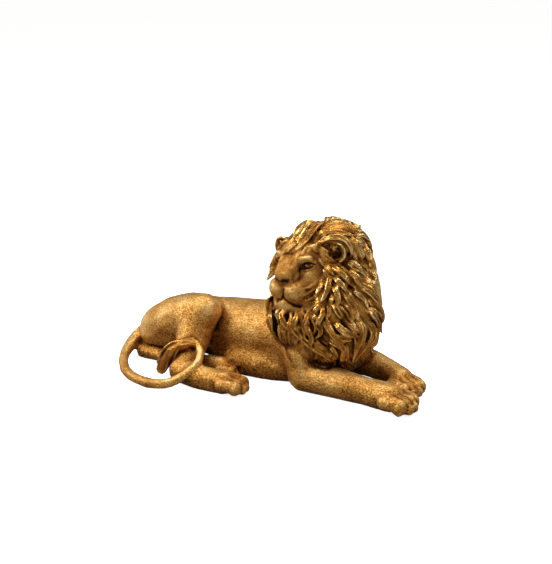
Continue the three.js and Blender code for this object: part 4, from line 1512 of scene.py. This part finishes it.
@dataclass(frozen=True)
class AgedGold:
    """Gold leaf over resin, rubbed bright on the ridges and left brown in the hollows.

    The tone runs from 0 in a pit to 1 on the palest ridge. A value that ends in dark lowers it, one that
    ends in light raises it, and one that ends in contrast is how far a pattern moves it both ways. It also
    carries painted light: up-facing places paler, the lowest parts and the cut lines darker as painted
    shade, and painted highlights on the face.
    """

    pit: tuple = (0.03, 0.010, 0.002)
    brown: tuple = (0.17, 0.058, 0.009)
    amber: tuple = (0.42, 0.165, 0.025)
    gold: tuple = (0.70, 0.335, 0.062)
    pale: tuple = (0.97, 0.68, 0.27)
    stone: tuple = (0.42, 0.27, 0.11)
    stone_share: float = 0.12
    metallic: float = 0.9
    roughness: float = 0.54
    bright_gloss: float = 0.16
    hair_gloss: float = 0.22
    fur_run: tuple = (0.6, 1.0, 0.85)
    fur_scale: float = 520.0
    cloud_scale: float = 22.0
    grain_scale: float = 900.0
    hair_scale: tuple = (3.4, 0.22, 1.7)
    fur_depth: float = 0.0016
    fur_strength: float = 0.85
    middle: float = 0.55
    # painted light: how much paler the up-facing body is
    painted_top_light: float = 0.12
    hair_dark: float = 0.06
    hollow_dark: float = 0.26
    coat_hollow_dark: float = 0.02
    deep_dark: float = 0.18
    hair_deep_dark: float = 0.04
    # how strongly the cuts' painted shade, painted highlights and own colour show
    painted_shade_and_colour_dark: float = 0.45
    # painted shade low down, less of it in the mane
    low_dark: float = 0.2
    hair_low_light: float = 0.08
    face_calm: float = 0.3
    strand_contrast: float = 0.9
    fur_contrast: float = 1.5
    cloud_contrast: float = 0.9
    grain_contrast: float = 0.15
    coat_grain_contrast: float = 0.7

    def noise(self, bench: Bench, place: Signal, scale: float, detail: float, roughness: float) -> Signal:
        """Adds a noise pattern.

        Args:
            bench: The tree that it joins.
            place: Where it is read.
            scale: How fine it is.
            detail: How many finer layers it has.
            roughness: How strong those are.

        Returns:
            The pattern, from 0 to 1.
        """
        inputs = {"Vector": place, "Scale": scale, "Detail": detail, "Roughness": roughness}
        return bench.node("ShaderNodeTexNoise", {"noise_dimensions": "3D"}, inputs)

    def material(self) -> bpy.types.Material:
        """Makes the finish.

        Returns:
            The material.
        """
        bench = Bench(bpy.data.materials.new("aged_gold"))
        node = bench.node
        place = node("ShaderNodeTexCoord", output="Object")
        hollow, deep, hair, face, stain, top, low = (
            node("ShaderNodeAttribute", {"attribute_name": name}, output="Fac")
            for name in ("hollow", "deep", "hair", "face", "stain", "top", "low")
        )
        along = node("ShaderNodeMapping", None, {"Vector": place, "Scale": self.fur_run})
        strand = node("ShaderNodeAttribute", {"attribute_name": "strand"}, output="Vector")
        strand = node("ShaderNodeMapping", None, {"Vector": strand, "Scale": self.hair_scale})
        fur = self.noise(bench, along, self.fur_scale, 3.0, 0.6)
        cloud = self.noise(bench, place, self.cloud_scale, 3.0, 0.55)
        grain = self.noise(bench, place, self.grain_scale, 2.0, 0.6)
        lines = self.noise(bench, strand, 1.0, 2.0, 0.6)
        coat = 1 - hair
        dark = 1 - face * self.face_calm
        # top adds painted light on up-facing places of the body and painted shade on those that face down
        tone = self.middle - hair * self.hair_dark + top * self.painted_top_light
        tone = tone - hollow * (self.hollow_dark + coat * self.coat_hollow_dark) * dark
        tone = tone - deep * (self.deep_dark + hair * self.hair_deep_dark) * dark
        # low darkens towards the bottom as painted shade
        # the cuts' painted shade and painted highlights, with the face's own pale and brown marks
        tone = tone - stain * self.painted_shade_and_colour_dark - low * (self.low_dark - hair * self.hair_low_light)
        tone = tone + (lines - 0.5) * hair * self.strand_contrast
        tone = tone + (fur - 0.5) * (coat - face * 0.5) * self.fur_contrast
        tone = tone + (cloud - 0.5) * self.cloud_contrast
        tone = tone + (grain - 0.5) * (self.grain_contrast + coat * self.coat_grain_contrast)
        colour = node("ShaderNodeValToRGB", {"stops": [
            (0.0, self.pit), (0.2, self.brown), (0.42, self.amber), (0.64, self.gold), (0.95, self.pale),
        ]}, {0: tone})
        dull = face * tone.between(0.15, 0.6) * self.stone_share
        colour = node("ShaderNodeMix", {"data_type": "RGBA", "blend_type": "MIX"},
                      {0: dull, 6: colour, 7: (*self.stone, 1.0)}, output=2)
        rough = self.roughness - tone.between(0.3, 0.95) * self.bright_gloss - hair * self.hair_gloss
        height = fur * coat * 0.9 + grain * (0.1 + coat * 0.25) + lines * hair * 0.7
        bump = node("ShaderNodeBump", None, {
            "Strength": self.fur_strength, "Distance": self.fur_depth, "Height": height,
        })
        shader = node("ShaderNodeBsdfPrincipled", None, {
            "Base Color": colour, "Roughness": rough, "Metallic": self.metallic, "Normal": bump,
        })
        node("ShaderNodeOutputMaterial", None, {"Surface": shader})
        return bench.owner


class Light(Enum):
    """The lamps of the studio: where each stands, its size in metres and its power in watts."""

    KEY = ((-1.3, -1.5, 1.9), 0.9, 34.0)
    FILL = ((1.9, -1.6, 1.0), 1.2, 8.0)
    TOP = ((0.1, 0.4, 2.4), 1.6, 30.0)
    RIM = ((1.2, 1.6, 1.5), 0.8, 10.0)
    REAR = ((-2.2, -0.3, 1.1), 1.4, 16.0)


@dataclass(frozen=True)
class Studio:
    """The floor, the lamps and the camera."""

    view: View = View()
    floor_size: float = 12.0
    air: float = 0.14
    air_colour: tuple = (1.0, 0.97, 0.93, 1.0)
    white: tuple = (1.0, 1.0, 1.0, 1.0)
    glow: float = 0.86
    seen_floor: float = 0.93
    felt_floor: float = 0.40
    lit_height: float = 0.12

    def floor(self) -> None:
        """Lays the pale floor, as stage."""
        bm = bmesh.new()
        bmesh.ops.create_grid(bm, x_segments=1, y_segments=1, size=self.floor_size)
        mesh = bpy.data.meshes.new("floor")
        bm.to_mesh(mesh)
        bm.free()
        floor = bpy.data.objects.new("floor", mesh)
        bench = Bench(bpy.data.materials.new("floor_white"))
        seen = bench.node("ShaderNodeLightPath", output="Is Camera Ray")
        near = bench.node("ShaderNodeBsdfDiffuse", None, {"Color": (*[self.seen_floor] * 3, 1.0)})
        far = bench.node("ShaderNodeBsdfDiffuse", None, {"Color": (*[self.felt_floor] * 3, 1.0)})
        cast = bench.node("ShaderNodeMixShader", None, {0: seen, 1: far, 2: near})
        glow = bench.node("ShaderNodeEmission", None, {"Color": self.white, "Strength": seen * self.glow})
        both = bench.node("ShaderNodeAddShader", None, {0: cast, 1: glow})
        bench.node("ShaderNodeOutputMaterial", None, {"Surface": both})
        mesh.materials.append(bench.owner)
        bpy.context.scene.collection.objects.link(floor)

    def lamps(self) -> None:
        """Hangs the soft lamps."""
        for lamp in Light:
            place, size, power = lamp.value
            data = bpy.data.lights.new(lamp.name.lower(), "AREA")
            data.shape = "SQUARE"
            data.size = size
            data.energy = power
            made = bpy.data.objects.new(lamp.name.lower(), data)
            made.location = place
            way = Vector((0, 0, self.lit_height)) - Vector(place)
            made.rotation_euler = way.to_track_quat("-Z", "Y").to_euler()
            bpy.context.scene.collection.objects.link(made)

    def camera(self) -> None:
        """Stands the camera at the photograph's viewing angle."""
        data = bpy.data.cameras.new("camera")
        data.lens = self.view.lens
        data.sensor_width = self.view.sensor
        made = bpy.data.objects.new("camera", data)
        made.location = self.view.eye()
        made.rotation_euler = (-self.view.back()).to_track_quat("-Z", "Y").to_euler()
        bpy.context.scene.collection.objects.link(made)
        bpy.context.scene.camera = made

    def air_light(self) -> None:
        """Fills the air with soft light, white where it is seen and dimmer where it is reflected."""
        world = bpy.data.worlds.new("air")
        bpy.context.scene.world = world
        bench = Bench(world)
        camera = bench.node("ShaderNodeLightPath", output="Is Camera Ray")
        seen = bench.node("ShaderNodeBackground", None, {"Color": self.white, "Strength": 1.0})
        felt = bench.node("ShaderNodeBackground", None, {"Color": self.air_colour, "Strength": self.air})
        mix = bench.node("ShaderNodeMixShader", None, {0: camera, 1: felt, 2: seen})
        bench.node("ShaderNodeOutputWorld", None, {"Surface": mix})

    def build(self) -> None:
        """Sets up the whole studio."""
        self.floor()
        self.lamps()
        self.camera()
        self.air_light()
        bpy.context.scene.view_settings.view_transform = "Standard"


def main() -> None:
    """Builds the studio and the statue."""
    logging.basicConfig(level=logging.INFO, format="%(name)s: %(message)s")
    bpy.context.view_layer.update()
    Studio().build()
    log.info("studio")
    lion = Casting().build()
    lion.data.materials.clear()
    lion.data.materials.append(AgedGold().material())
    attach(lion, "root")
    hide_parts(NODE)
    log.info("lion_casting")


if __name__ == "__main__":
    main()
